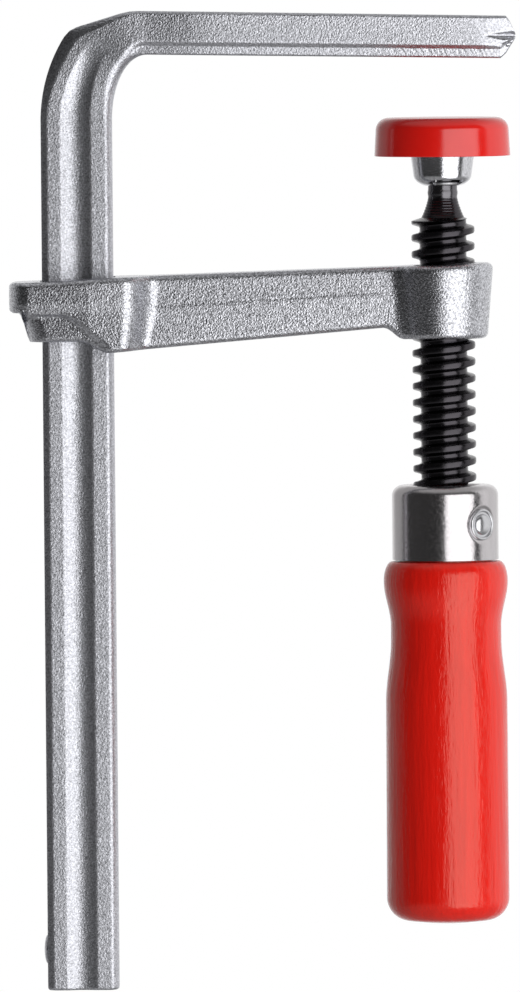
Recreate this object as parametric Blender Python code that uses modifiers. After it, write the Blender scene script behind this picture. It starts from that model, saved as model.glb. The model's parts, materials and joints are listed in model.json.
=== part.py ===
"""All-steel F clamp, in metres.

A flat bar is bent over into a fixed jaw. A forged arm slides on the bar and carries a screw
spindle, which ends in a swivelling pressure plate with a soft cap, and in a turned wooden handle.

+Z runs up the bar, +X from the bar to the spindle and +Y to the back. The origin lies on the
fixed jaw's clamping face, on the spindle's axis.
"""

import bmesh
import bpy
from math import acos, atan2, cos, pi, radians, sin, sqrt, tan
from mathutils import Matrix, Vector

# Bar
THROAT = 0.0600
RAIL_WIDTH = 0.0130
RAIL_THICKNESS = 0.0065
RAIL_DROP = 0.1692
RAIL_EDGE_ROUND = 0.0012
RAIL_END_CHAMFER = 0.0006
GROOVE_WIDTH = 0.0053
GROOVE_DEPTH = 0.00075

# Bend and fixed jaw
BEND_INNER_RUN = 0.0080
BEND_INNER_RISE = 0.0110
BEND_OUTER_RADIUS = 0.0290
BEND_OUTER_TURN = radians(35.0)
BEND_OUTER_DROP = 0.0110
BEND_BEVEL_REACH = 0.0032
BEND_GROOVE_SHARE = 0.75
JAW_HEIGHT = 0.0079
JAW_DEPTH = 0.0105
JAW_TOE_IN = radians(1.05)
JAW_REACH = 0.0134
JAW_TOP_ROUND = 0.0004
JAW_FOOT_ROUND = 0.0025
JAW_TIP_LENGTH = 0.0024
JAW_TIP_CHAMFER = 0.0019

# Stop stud in the bar's outer edge
STUD_HEAD_DIAMETER = 0.0052
STUD_SHANK_DIAMETER = 0.0034
STUD_DEPTH = 0.0030
STUD_DOME = 0.0004
STUD_RAISE = 0.0074
PRESS_CLEARANCE = 0.0002

# Sliding arm
ARM_DROP = 0.0375
ARM_TOP_RISE = radians(1.57)
BEAM_DEPTH = 0.0090
BEAM_ROOT_HEIGHT = 0.0138
BEAM_END_HEIGHT = 0.0110
FORGING_ROUND = 0.0012
PARTING_BULGE = 0.00015
EYE_DEPTH = 0.0170
EYE_WALL = 0.0060
EYE_END_ROUND = 0.0034
EYE_SLOT_CLEARANCE = 0.00035
SHOULDER_RUN = 0.0071
SHOULDER_START = 0.0014
COLLAR_HEIGHT = 0.0059
LUG_HEIGHT = 0.0114
LUG_STEP = 0.0019
LUG_SLANT = 0.0019
RECESS_DEPTH = 0.0016
RECESS_WALL = 0.0016
RECESS_CURVE_START = 0.0093
RECESS_CURVE_EASE = 0.0038
RECESS_FOOT_RUN = 0.0028
RECESS_FOOT_RISE = 0.0019
BOSS_HEIGHT = 0.0137
BOSS_TOP_DIAMETER = 0.0178
BOSS_BOTTOM_DIAMETER = 0.0160
BOSS_FILLET = 0.0030
BOSS_DROP_RUN = 0.0042

# Spindle
PITCH = 0.0030
THREAD_MAJOR = 0.0115
THREAD_MINOR = 0.0085
THREAD_CREST = 0.0011
THREAD_FLANK = radians(15.0)
THREAD_CLEARANCE = 0.0003
THREAD_PHASE = 0.0017
NECK_DIAMETER = 0.0049
NECK_LENGTH = 0.0020
FLARE_LENGTH = 0.0038
FLARE_DIAMETER = 0.0078
FLARE_HOLLOW = 1.6
RUNOUT_LENGTH = 0.0018
THREAD_LENGTH = 0.0486
SHANK_DIAMETER = 0.0080
SHANK_LENGTH = 0.0440
SHANK_CHAMFER = 0.0008

# Swivel: ball, wire ring, pressure plate and cap
JAW_GAP = 0.0109
CAP_HEIGHT = 0.0070
CAP_TOP_WALL = 0.0014
CAP_MOUTH_DIAMETER = 0.0247
CAP_TOP_DIAMETER = 0.0237
CAP_EDGE_ROUND = 0.0020
CAP_LIP = 0.0006
CAP_LIP_HEIGHT = 0.0010
PLATE_DIAMETER = 0.0212
PLATE_THICKNESS = 0.0036
CUP_DIAMETER = 0.0114
CUP_HEIGHT = 0.0071
CUP_EDGE_ROUND = 0.0020
BALL_DIAMETER = 0.0070
BALL_RAISE = 0.0036
SOCKET_CLEARANCE = 0.0003
RING_CHANNEL_DIAMETER = 0.0092
MOUTH_DIAMETER = 0.0069
RING_WIRE = 0.0006
RING_DIAMETER = 0.0067
RING_DROP = 0.0023
RING_OPENING = radians(36.0)
RING_TURN = radians(-133.5)

# Ferrule, handle and cross rivet
FERRULE_DIAMETER = 0.01935
FERRULE_HEIGHT = 0.0136
FERRULE_WALL = 0.0010
FERRULE_EDGE_ROUND = 0.0014
FERRULE_HOLE_CLEARANCE = 0.0004
SEAT_CLEARANCE = 0.0003
HANDLE_LENGTH = 0.0660
HANDLE_SHOULDER_DIAMETER = 0.0226
HANDLE_SHOULDER_DROP = 0.0036
HANDLE_WAIST_DIAMETER = 0.0201
HANDLE_WAIST_DROP = 0.0140
HANDLE_BELLY_DIAMETER = 0.0221
HANDLE_BELLY_DROP = 0.0258
HANDLE_TAIL_DIAMETER = 0.0223
HANDLE_END_ROUND = 0.0032
HANDLE_END_DOME = 0.0010
HANDLE_DOME_SHARE = 0.25
RIVET_DIAMETER = 0.0026
RIVET_HEAD_DIAMETER = 0.0044
RIVET_HEAD_HEIGHT = 0.0008
RIVET_DROP = 0.0071
RIVET_TURN = radians(43.5)

# Fineness of round shapes
TURN_STEPS = 28
THREAD_STEPS = 18
ROUND_STEPS = 3
CORNER_STEPS = 4
GROOVE_STEPS = 6
BEND_STEPS = 6
CURVE_STEPS = 8
RING_STEPS = 22
BOSS_STEP = radians(10.0)
WELD = 0.000002
SHARP_ANGLE = radians(32.0)

# Places that follow from the sizes above
RAIL_INNER_X = -THROAT
RAIL_OUTER_X = RAIL_INNER_X - RAIL_WIDTH
RAIL_MIDDLE_X = RAIL_INNER_X - 0.5 * RAIL_WIDTH
STUD_Z = STUD_RAISE - RAIL_DROP
CAP_TOP_Z = -JAW_GAP
PLATE_TOP_Z = CAP_TOP_Z - CAP_TOP_WALL - SEAT_CLEARANCE
CUP_BOTTOM_Z = PLATE_TOP_Z - PLATE_THICKNESS - CUP_HEIGHT
BALL_Z = CUP_BOTTOM_Z + BALL_RAISE
FLARE_Z = CUP_BOTTOM_Z - NECK_LENGTH
RUNOUT_Z = FLARE_Z - FLARE_LENGTH
FERRULE_TOP_Z = RUNOUT_Z - THREAD_LENGTH
FERRULE_BOTTOM_Z = FERRULE_TOP_Z - FERRULE_HEIGHT
RIVET_Z = FERRULE_TOP_Z - RIVET_DROP
SHANK_END_Z = FERRULE_TOP_Z - SHANK_LENGTH
BOSS_BOTTOM_Z = -ARM_DROP - BOSS_HEIGHT


# Helpers


def blend(start, end, share):
    return start + (end - start) * share


def ease(share):
    """An S-curve from 0 to 1 that starts and ends level."""
    share = min(max(share, 0.0), 1.0)
    return share**3 * (share * (6.0 * share - 15.0) + 10.0)


def quarter(steps):
    """Angles of a quarter turn in equal steps, both ends included."""
    return [0.5 * pi * step / steps for step in range(steps + 1)]


def shares(steps):
    return [step / steps for step in range(steps + 1)]


def new_collection(name):
    collection = bpy.data.collections.new(name)
    bpy.context.scene.collection.children.link(collection)
    return collection


def add_object(name, mesh, collection):
    piece = bpy.data.objects.new(name, mesh)
    collection.objects.link(piece)
    return piece


def settle(piece):
    """Makes the evaluated shape the piece's own mesh, smooth but for its sharp edges."""
    graph = bpy.context.evaluated_depsgraph_get()
    mesh = bpy.data.meshes.new_from_object(piece.evaluated_get(graph))
    piece.modifiers.clear()
    piece.data = mesh
    mesh.shade_smooth()
    mesh.set_sharp_from_angle(angle=SHARP_ANGLE)
    return piece


def turned(name, profile, collection, closed=False):
    """A solid turned about its own Z axis from (radius, height) points that run down its outside."""
    last = len(profile) - 1
    edges = [(index, index + 1) for index in range(last)]
    if closed:
        edges.append((last, 0))
    mesh = bpy.data.meshes.new(name)
    mesh.from_pydata([(radius, 0.0, height) for radius, height in profile], edges, [])
    piece = add_object(name, mesh, collection)
    turn = piece.modifiers.new("turn", "SCREW")
    turn.steps = TURN_STEPS
    turn.render_steps = TURN_STEPS
    turn.use_merge_vertices = True
    turn.merge_threshold = WELD
    return settle(piece)


def loft(name, flanks, collection):
    """A closed skin through flanks, each a row of points down the front that is mirrored to the back."""
    skin = bmesh.new()
    rows = []
    for flank in flanks:
        front = [skin.verts.new((x, -y, z)) for x, y, z in flank]
        back = [skin.verts.new((x, y, z)) for x, y, z in flank]
        rows.append(front + back[::-1])
    count = len(rows[0])
    for row, following in zip(rows, rows[1:]):
        for index in range(count):
            beside = (index + 1) % count
            skin.faces.new((row[index], row[beside], following[beside], following[index]))
    for row in (rows[0], rows[-1]):
        for index in range(count // 2 - 1):
            skin.faces.new((row[index], row[index + 1], row[-2 - index], row[-1 - index]))
    bmesh.ops.recalc_face_normals(skin, faces=skin.faces)
    mesh = bpy.data.meshes.new(name)
    skin.to_mesh(mesh)
    skin.free()
    return settle(add_object(name, mesh, collection))


def cylinder(name, radius, low, high, collection):
    return turned(name, [(0.0, high), (radius, high), (radius, low), (0.0, low)], collection)


def helper(cutter):
    cutter.hide_render = True
    cutter.display_type = "WIRE"
    return cutter


def combine(piece, cutter, operation="DIFFERENCE"):
    boolean = piece.modifiers.new(cutter.name, "BOOLEAN")
    boolean.operation = operation
    boolean.object = cutter


def finish(piece, colour, roughness, metallic):
    material = bpy.data.materials.new(piece.name)
    material.use_nodes = True
    shader = material.node_tree.nodes["Principled BSDF"]
    shader.inputs["Base Color"].default_value = (*colour, 1.0)
    shader.inputs["Roughness"].default_value = roughness
    shader.inputs["Metallic"].default_value = metallic
    piece.data.materials.clear()
    piece.data.materials.append(material)


def joint_frame(name, place, parent=None):
    """An empty on a joint's axis. Its location, and that of all it carries, is in the clamp's frame."""
    frame = bpy.data.objects.new(name, None)
    frame.empty_display_size = FERRULE_DIAMETER
    frame.location = place
    parts.objects.link(frame)
    if parent:
        carry(parent, frame)
    return frame


def carry(frame, piece):
    piece.parent = frame
    piece.matrix_parent_inverse = Matrix.Translation(-frame.location)


# Bar with its fixed jaw


def jaw_foot(x):
    """Height of the clamping face, which drops a little towards its tip."""
    return -x * tan(JAW_TOE_IN)


def jaw_top(x):
    return jaw_foot(x) + JAW_HEIGHT


def bar_flank(inner, outer, half_depth, inner_round, outer_round, groove_depth):
    """Points across one face of the bar, from its inner edge (x, z) to its outer edge (x, z)."""
    inner = Vector(inner)
    span = Vector(outer) - inner
    length = span.length
    across = span / length
    line = []
    for turn in quarter(ROUND_STEPS):
        drop = inner_round * (1.0 - sin(turn))
        line.append((inner_round * (1.0 - cos(turn)), half_depth - drop))
    flat = length - inner_round - outer_round
    middle = inner_round + 0.5 * flat
    groove_half = 0.5 * GROOVE_WIDTH * flat / (RAIL_WIDTH - 2.0 * RAIL_EDGE_ROUND)
    for share in shares(GROOVE_STEPS):
        side = 2.0 * share - 1.0
        line.append((middle + side * groove_half, half_depth - groove_depth * (1.0 - side**2)))
    for turn in quarter(ROUND_STEPS):
        drop = outer_round * (1.0 - cos(turn))
        line.append((length - outer_round * (1.0 - sin(turn)), half_depth - drop))
    return [(inner.x + across.x * run, depth, inner.y + across.y * run) for run, depth in line]


def rail_flank(z, inset):
    return bar_flank(
        (RAIL_INNER_X - inset, z),
        (RAIL_OUTER_X + inset, z),
        0.5 * RAIL_THICKNESS - inset,
        RAIL_EDGE_ROUND,
        RAIL_EDGE_ROUND,
        GROOVE_DEPTH,
    )


def bend_outer_points():
    """The bend's outer contour: a large arc, a straight bevel and the start of the jaw's top."""
    points = []
    for share in shares(BEND_STEPS):
        turn = BEND_OUTER_TURN * share
        x = RAIL_OUTER_X + BEND_OUTER_RADIUS * (1.0 - cos(turn))
        points.append((x, BEND_OUTER_RADIUS * sin(turn) - BEND_OUTER_DROP))
    arc_end = Vector(points[-1])
    bevel_x = RAIL_INNER_X + BEND_BEVEL_REACH
    bevel_end = Vector((bevel_x, jaw_top(bevel_x)))
    for share in shares(CORNER_STEPS)[1:]:
        points.append(tuple(arc_end.lerp(bevel_end, share)))
    jaw_x = RAIL_INNER_X + BEND_INNER_RUN
    points.append((jaw_x, jaw_top(jaw_x)))
    return points


def bend_flanks():
    outer_points = bend_outer_points()
    end_x = RAIL_INNER_X + BEND_INNER_RUN
    start_z = jaw_foot(end_x) - BEND_INNER_RISE
    flanks = []
    for share, outer in zip(shares(len(outer_points) - 1), outer_points):
        turn = 0.5 * pi * share
        inner = (end_x - BEND_INNER_RUN * cos(turn), start_z + BEND_INNER_RISE * sin(turn))
        formed = ease(share)
        flanks.append(
            bar_flank(
                inner,
                outer,
                0.5 * blend(RAIL_THICKNESS, JAW_DEPTH, formed),
                blend(RAIL_EDGE_ROUND, JAW_FOOT_ROUND, formed),
                blend(RAIL_EDGE_ROUND, JAW_TOP_ROUND, formed),
                GROOVE_DEPTH * (1.0 - ease(share / BEND_GROOVE_SHARE)),
            )
        )
    return flanks


def jaw_flank(x, inset):
    kept = 1.0 - 2.0 * inset / JAW_HEIGHT
    return bar_flank(
        (x, jaw_foot(x) + inset),
        (x, jaw_top(x) - inset),
        0.5 * JAW_DEPTH - inset,
        JAW_FOOT_ROUND * kept,
        JAW_TOP_ROUND,
        0.0,
    )


def make_rail():
    flanks = [rail_flank(-RAIL_DROP, RAIL_END_CHAMFER), rail_flank(RAIL_END_CHAMFER - RAIL_DROP, 0.0)]
    flanks += bend_flanks()
    flanks.append(jaw_flank(JAW_REACH - JAW_TIP_LENGTH, 0.0))
    flanks.append(jaw_flank(JAW_REACH, JAW_TIP_CHAMFER))
    rail = loft("rail", flanks, parts)
    hole_radius = 0.5 * STUD_SHANK_DIAMETER + PRESS_CLEARANCE
    hole = cylinder("stud_hole", hole_radius, -STUD_DEPTH - PRESS_CLEARANCE, RAIL_WIDTH, cutters)
    point_stud(hole)
    combine(rail, helper(hole))
    finish(rail, (0.62, 0.63, 0.64), 0.34, 1.0)
    return rail


def point_stud(piece):
    """Stands a turned piece on the bar's outer edge, with its own +Z pointing outwards."""
    piece.location = (RAIL_OUTER_X, 0.0, STUD_Z)
    piece.rotation_euler = (0.0, -0.5 * pi, 0.0)


def make_stop_stud():
    head = 0.5 * STUD_HEAD_DIAMETER
    shank = 0.5 * STUD_SHANK_DIAMETER
    profile = [(head * sin(turn), PRESS_CLEARANCE + STUD_DOME * cos(turn)) for turn in quarter(CORNER_STEPS)]
    profile += [(shank, PRESS_CLEARANCE), (shank, -STUD_DEPTH), (0.0, -STUD_DEPTH)]
    stud = turned("stop_stud", profile, parts)
    point_stud(stud)
    finish(stud, (0.60, 0.61, 0.62), 0.38, 1.0)
    return stud


# Sliding arm


EYE_X = RAIL_OUTER_X - EYE_WALL
SHOULDER_X = RAIL_INNER_X + SHOULDER_START
BOSS_RADIUS = 0.5 * BOSS_TOP_DIAMETER
BEAM_END_X = -sqrt((BOSS_RADIUS + BOSS_FILLET) ** 2 - (0.5 * BEAM_DEPTH + BOSS_FILLET) ** 2)
LUG_END_X = EYE_X + LUG_STEP + LUG_SLANT
RECESS_CURVE_X = EYE_X + RECESS_CURVE_START


def arm_top(x):
    return x * tan(ARM_TOP_RISE) - ARM_DROP


def beam_height(x):
    return blend(BEAM_ROOT_HEIGHT, BEAM_END_HEIGHT, (x - RAIL_INNER_X) / (BEAM_END_X - RAIL_INNER_X))


def collar_bottom():
    return arm_top(EYE_X) - COLLAR_HEIGHT


def lug_bottom():
    return arm_top(EYE_X) - LUG_HEIGHT


def arm_bottom(x):
    """The arm's lower outline: collar, slanted lug, beam and boss, from left to right."""
    beam = arm_top(x) - beam_height(x)
    if x > BEAM_END_X:
        return blend(beam, BOSS_BOTTOM_Z, min((x - BEAM_END_X) / BOSS_DROP_RUN, 1.0) ** 2)
    if x > RAIL_MIDDLE_X:
        return blend(lug_bottom(), beam, ease((x - RAIL_MIDDLE_X) / (0.5 * RAIL_WIDTH)))
    return blend(collar_bottom(), lug_bottom(), min(max((x - EYE_X - LUG_STEP) / LUG_SLANT, 0.0), 1.0))


def arm_half_depth(x):
    """Half the arm's depth in plan: rounded end, eye, shoulder and beam."""
    run = min((x - EYE_X) / EYE_END_ROUND, 1.0)
    end_cut = EYE_END_ROUND * (1.0 - sqrt(1.0 - (1.0 - run) ** 2))
    shoulder = ease((x - SHOULDER_X) / SHOULDER_RUN)
    return 0.5 * blend(EYE_DEPTH, BEAM_DEPTH, shoulder) - end_cut


def forging_edge(top, bottom, upper, lower):
    """(radius, height) points down a forged flank: rounded edges and a slight ridge on the parting line."""
    points = []
    for turn in quarter(ROUND_STEPS):
        inset = FORGING_ROUND * (1.0 - sin(turn))
        points.append((upper - inset, top - FORGING_ROUND * (1.0 - cos(turn))))
    points.append((0.5 * (upper + lower) + PARTING_BULGE, 0.5 * (top + bottom)))
    for turn in quarter(ROUND_STEPS):
        inset = FORGING_ROUND * (1.0 - cos(turn))
        points.append((lower - inset, bottom + FORGING_ROUND * (1.0 - sin(turn))))
    return points


def straight_flank(x):
    depth = arm_half_depth(x)
    return [(x, radius, z) for radius, z in forging_edge(arm_top(x), arm_bottom(x), depth, depth)]


def boss_edge(x):
    return forging_edge(arm_top(x), arm_bottom(x), BOSS_RADIUS, 0.5 * BOSS_BOTTOM_DIAMETER)


def fillet_turn(radius, depth):
    """Angle from the Y axis at which the fillet meets a boss of this radius."""
    return acos((depth + BOSS_FILLET) / (radius + BOSS_FILLET))


def fillet_flank(share):
    """The hollow between beam and boss, at a share of its turn."""
    beam_depth = 0.5 * BEAM_DEPTH
    turn = share * fillet_turn(BOSS_RADIUS, beam_depth)
    x = BEAM_END_X + BOSS_FILLET * sin(turn)
    flank = []
    for (radius, z), (depth, _) in zip(boss_edge(x), forging_edge(0.0, 0.0, beam_depth, beam_depth)):
        full_turn = fillet_turn(radius, depth)
        centre_x = -(radius + BOSS_FILLET) * sin(full_turn)
        point_x = centre_x + BOSS_FILLET * sin(share * full_turn)
        flank.append((point_x, depth + BOSS_FILLET * (1.0 - cos(share * full_turn)), z))
    return flank


def boss_flank(turn):
    edge = boss_edge(BOSS_RADIUS * sin(turn))
    return [(radius * sin(turn), radius * cos(turn), z) for radius, z in edge]


def arm_stations():
    """X of the straight sections, close together where the outline bends."""
    stations = [EYE_X + EYE_END_ROUND * (1.0 - cos(turn)) for turn in quarter(CORNER_STEPS)]
    stations += [EYE_X + LUG_STEP, LUG_END_X]
    stations += [RAIL_MIDDLE_X + 0.5 * RAIL_WIDTH * share for share in shares(BEND_STEPS)]
    stations += [SHOULDER_X + SHOULDER_RUN * share for share in shares(CURVE_STEPS)]
    return sorted(stations) + [BEAM_END_X - BOSS_FILLET]


def arm_blank():
    flanks = [straight_flank(x) for x in arm_stations()]
    flanks += [fillet_flank(share) for share in shares(CORNER_STEPS)]
    start = -fillet_turn(BOSS_RADIUS, 0.5 * BEAM_DEPTH)
    last = 0.5 * pi - 0.5 * BOSS_STEP
    count = round((last - start) / BOSS_STEP)
    flanks += [boss_flank(blend(start, last, share)) for share in shares(count)[1:]]
    return loft("sliding_arm", flanks, parts)


def rail_slot():
    """The straight-sided hole that the bar runs through."""
    skin = bmesh.new()
    bmesh.ops.create_cube(skin, size=1.0)
    width = RAIL_WIDTH + 2.0 * EYE_SLOT_CLEARANCE
    depth = RAIL_THICKNESS + 2.0 * EYE_SLOT_CLEARANCE
    bmesh.ops.scale(skin, vec=(width, depth, 4.0 * BEAM_ROOT_HEIGHT), verts=skin.verts)
    mesh = bpy.data.meshes.new("rail_slot")
    skin.to_mesh(mesh)
    skin.free()
    slot = add_object("rail_slot", mesh, cutters)
    slot.location = (RAIL_MIDDLE_X, 0.0, arm_top(RAIL_MIDDLE_X))
    return helper(slot)


def recess_outline(raise_by):
    """(x, z) round the hollow that steps the lug back, with its wall moved out by raise_by."""
    top = collar_bottom() + raise_by
    start = Vector((RECESS_CURVE_X + raise_by, top))
    end = Vector((RAIL_INNER_X + raise_by, lug_bottom() - FORGING_ROUND))
    ahead = start + Vector((RECESS_CURVE_EASE, 0.0))
    behind = end + Vector((-RECESS_FOOT_RUN, RECESS_FOOT_RISE))
    below = lug_bottom() - EYE_DEPTH
    outline = [(EYE_X - EYE_DEPTH, below), (EYE_X - EYE_DEPTH, top)]
    for share in shares(CURVE_STEPS):
        near = start.lerp(ahead, share).lerp(ahead.lerp(behind, share), share)
        far = ahead.lerp(behind, share).lerp(behind.lerp(end, share), share)
        outline.append(tuple(near.lerp(far, share)))
    outline.append((end.x, below))
    return outline


def lug_recess(side):
    """A cutter with a slanted wall that takes the lug's face back on one side of the eye."""
    face = 0.5 * EYE_DEPTH
    skin = bmesh.new()
    levels = ((face - RECESS_DEPTH, 0.0), (face, RECESS_WALL), (face + RECESS_DEPTH, 2.0 * RECESS_WALL))
    rows = []
    for depth, raise_by in levels:
        rows.append([skin.verts.new((x, side * depth, z)) for x, z in recess_outline(raise_by)])
    count = len(rows[0])
    for row, following in zip(rows, rows[1:]):
        for index in range(count):
            beside = (index + 1) % count
            skin.faces.new((row[index], row[beside], following[beside], following[index]))
    skin.faces.new(rows[0])
    skin.faces.new(rows[-1])
    bmesh.ops.recalc_face_normals(skin, faces=skin.faces)
    name = "lug_recess_front" if side < 0 else "lug_recess_back"
    mesh = bpy.data.meshes.new(name)
    skin.to_mesh(mesh)
    skin.free()
    return helper(add_object(name, mesh, cutters))


def make_sliding_arm():
    arm = arm_blank()
    combine(arm, rail_slot())
    for side in (-1.0, 1.0):
        combine(arm, lug_recess(side))
    low = BOSS_BOTTOM_Z - 2.0 * PITCH
    combine(arm, helper(thread_rod("arm_thread", THREAD_CLEARANCE, low, 2.0 * PITCH - ARM_DROP)))
    finish(arm, (0.60, 0.61, 0.62), 0.36, 1.0)
    return arm


# Spindle with its screw thread


def thread_profile(clearance):
    """(radius, height) points down one pitch of the thread, grown by a clearance on every face."""
    minor = 0.5 * THREAD_MINOR + clearance
    major = 0.5 * THREAD_MAJOR + clearance
    widen = clearance * (1.0 / cos(THREAD_FLANK) - tan(THREAD_FLANK))
    crest = 0.5 * THREAD_CREST + widen
    root = crest + (major - minor) * tan(THREAD_FLANK)
    half = [(minor, 0.5 * PITCH), (minor, root), (major, crest)]
    return half + [(radius, -height) for radius, height in reversed(half)]


def thread_rod(name, clearance, low, high):
    """A right-hand threaded rod about the Z axis that reaches past both heights by up to a turn."""
    first = int(low // PITCH) - 2
    turns = int(high // PITCH) + 2 - first
    profile = thread_profile(clearance)
    edges = [(index, index + 1) for index in range(len(profile) - 1)]
    start = first * PITCH + THREAD_PHASE
    mesh = bpy.data.meshes.new(name)
    mesh.from_pydata([(radius, 0.0, start + height) for radius, height in profile], edges, [])
    rod = add_object(name, mesh, cutters)
    screw = rod.modifiers.new("thread", "SCREW")
    screw.steps = THREAD_STEPS
    screw.render_steps = THREAD_STEPS
    screw.iterations = turns
    screw.screw_offset = PITCH
    settle(rod)
    skin = bmesh.new()
    skin.from_mesh(rod.data)
    bmesh.ops.remove_doubles(skin, verts=skin.verts, dist=WELD)
    close_rod_end(skin, start)
    close_rod_end(skin, start + turns * PITCH)
    bmesh.ops.recalc_face_normals(skin, faces=skin.faces)
    skin.to_mesh(rod.data)
    skin.free()
    return rod


def close_rod_end(skin, z):
    """Closes the end turn around this height with a fan from the axis."""
    middle = skin.verts.new((0.0, 0.0, z))
    rim = [edge for edge in skin.edges if edge.is_boundary and abs(edge.verts[0].co.z - z) < PITCH]
    for edge in rim:
        skin.faces.new((edge.verts[0], edge.verts[1], middle))


def spindle_outline():
    """(radius, height) points down the turned blank: ball, neck, flare, screw and plain shank."""
    ball = 0.5 * BALL_DIAMETER
    neck = 0.5 * NECK_DIAMETER
    ball_end = pi - atan2(neck, sqrt(ball**2 - neck**2))
    points = []
    for share in shares(CURVE_STEPS):
        turn = ball_end * share
        points.append((ball * sin(turn), BALL_Z + ball * cos(turn)))
    points.append((neck, FLARE_Z))
    flare = 0.5 * FLARE_DIAMETER
    for share in shares(CORNER_STEPS)[1:]:
        points.append((blend(neck, flare, share**FLARE_HOLLOW), FLARE_Z - FLARE_LENGTH * share))
    outside = 0.5 * THREAD_MAJOR + PITCH
    slope = (outside - flare) / (0.5 * THREAD_MAJOR - flare)
    thread_end = FERRULE_TOP_Z - FERRULE_WALL
    points.append((outside, RUNOUT_Z - RUNOUT_LENGTH * slope))
    points.append((outside, thread_end))
    shank = 0.5 * SHANK_DIAMETER
    points.append((shank, thread_end))
    points.append((shank, SHANK_END_Z + SHANK_CHAMFER))
    points.append((shank - SHANK_CHAMFER, SHANK_END_Z))
    points.append((0.0, SHANK_END_Z))
    return points


def make_spindle():
    spindle = turned("spindle", spindle_outline(), parts)
    rod = thread_rod("spindle_thread", 0.0, SHANK_END_Z, CAP_TOP_Z)
    combine(spindle, helper(rod), "INTERSECT")
    combine(spindle, rivet_hole("spindle_rivet_hole"))
    finish(spindle, (0.022, 0.020, 0.022), 0.32, 0.6)
    return spindle


# Swivel


def make_retaining_ring():
    """An open wire ring that keeps the ball in its socket."""
    curve = bpy.data.curves.new("retaining_ring", "CURVE")
    curve.dimensions = "3D"
    curve.bevel_depth = 0.5 * RING_WIRE
    curve.bevel_resolution = 2
    curve.use_fill_caps = True
    half_opening = 0.5 * RING_OPENING
    points = [blend(half_opening, 2.0 * pi - half_opening, share) for share in shares(RING_STEPS)]
    spline = curve.splines.new("POLY")
    spline.points.add(len(points) - 1)
    for point, turn in zip(spline.points, points):
        point.co = (0.5 * RING_DIAMETER * cos(turn), 0.5 * RING_DIAMETER * sin(turn), -RING_DROP, 1.0)
    ring = add_object("retaining_ring", curve, parts)
    ring.location = (0.0, 0.0, BALL_Z)
    ring.rotation_euler = (0.0, 0.0, RING_TURN)
    finish(ring, (0.35, 0.35, 0.36), 0.40, 1.0)
    return ring


def plate_profile():
    """(radius, height) points from the ball's centre: disc, cup, mouth, ring channel and ball seat."""
    top = PLATE_TOP_Z - BALL_Z
    under = top - PLATE_THICKNESS
    bottom = CUP_BOTTOM_Z - BALL_Z
    disc = 0.5 * PLATE_DIAMETER
    cup = 0.5 * CUP_DIAMETER
    mouth = 0.5 * MOUTH_DIAMETER
    channel = 0.5 * RING_CHANNEL_DIAMETER
    seat = 0.5 * BALL_DIAMETER + SOCKET_CLEARANCE
    points = [(0.0, top), (disc, top), (disc, under), (cup, under)]
    for turn in quarter(CORNER_STEPS):
        inset = CUP_EDGE_ROUND * (1.0 - cos(turn))
        points.append((cup - inset, bottom + CUP_EDGE_ROUND * (1.0 - sin(turn))))
    points.append((mouth, bottom))
    lip = acos(mouth / channel)
    for share in shares(CORNER_STEPS):
        turn = lip * (1.0 - share)
        points.append((channel * cos(turn), -channel * sin(turn)))
    points += [(seat * cos(turn), seat * sin(turn)) for turn in quarter(CORNER_STEPS)]
    return points


def make_pressure_plate():
    plate = turned("pressure_plate", plate_profile(), parts)
    plate.location = (0.0, 0.0, BALL_Z)
    finish(plate, (0.66, 0.66, 0.67), 0.22, 1.0)
    return plate


def make_pad_cap():
    """A soft cap that slips over the pressure plate and grips under its rim."""
    mouth = 0.5 * CAP_MOUTH_DIAMETER
    shoulder = 0.5 * CAP_TOP_DIAMETER
    pocket = 0.5 * PLATE_DIAMETER + SEAT_CLEARANCE
    top = CAP_TOP_Z - BALL_Z
    bottom = top - CAP_HEIGHT
    lip_top = PLATE_TOP_Z - PLATE_THICKNESS - SEAT_CLEARANCE - BALL_Z
    ceiling = top - CAP_TOP_WALL
    profile = [(0.0, top)]
    for turn in quarter(CORNER_STEPS):
        inset = CAP_EDGE_ROUND * (1.0 - sin(turn))
        profile.append((shoulder - inset, top - CAP_EDGE_ROUND * (1.0 - cos(turn))))
    profile.append((mouth, bottom))
    profile.append((pocket - CAP_LIP, bottom))
    profile.append((pocket - CAP_LIP, min(lip_top, bottom + CAP_LIP_HEIGHT)))
    profile.append((pocket, lip_top))
    profile.append((pocket, ceiling))
    profile.append((0.0, ceiling))
    cap = turned("pad_cap", profile, parts)
    cap.location = (0.0, 0.0, BALL_Z)
    finish(cap, (0.72, 0.012, 0.010), 0.25, 0.0)
    return cap


# Ferrule, handle and rivet


def point_rivet(piece):
    """Lays a turned piece across the spindle's axis, with its own +Z towards the front right."""
    piece.location = (0.0, 0.0, RIVET_Z)
    piece.rotation_euler = (0.5 * pi, 0.0, RIVET_TURN)


def rivet_hole(name):
    radius = 0.5 * RIVET_DIAMETER + PRESS_CLEARANCE
    hole = cylinder(name, radius, -FERRULE_DIAMETER, FERRULE_DIAMETER, cutters)
    point_rivet(hole)
    return helper(hole)


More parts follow.
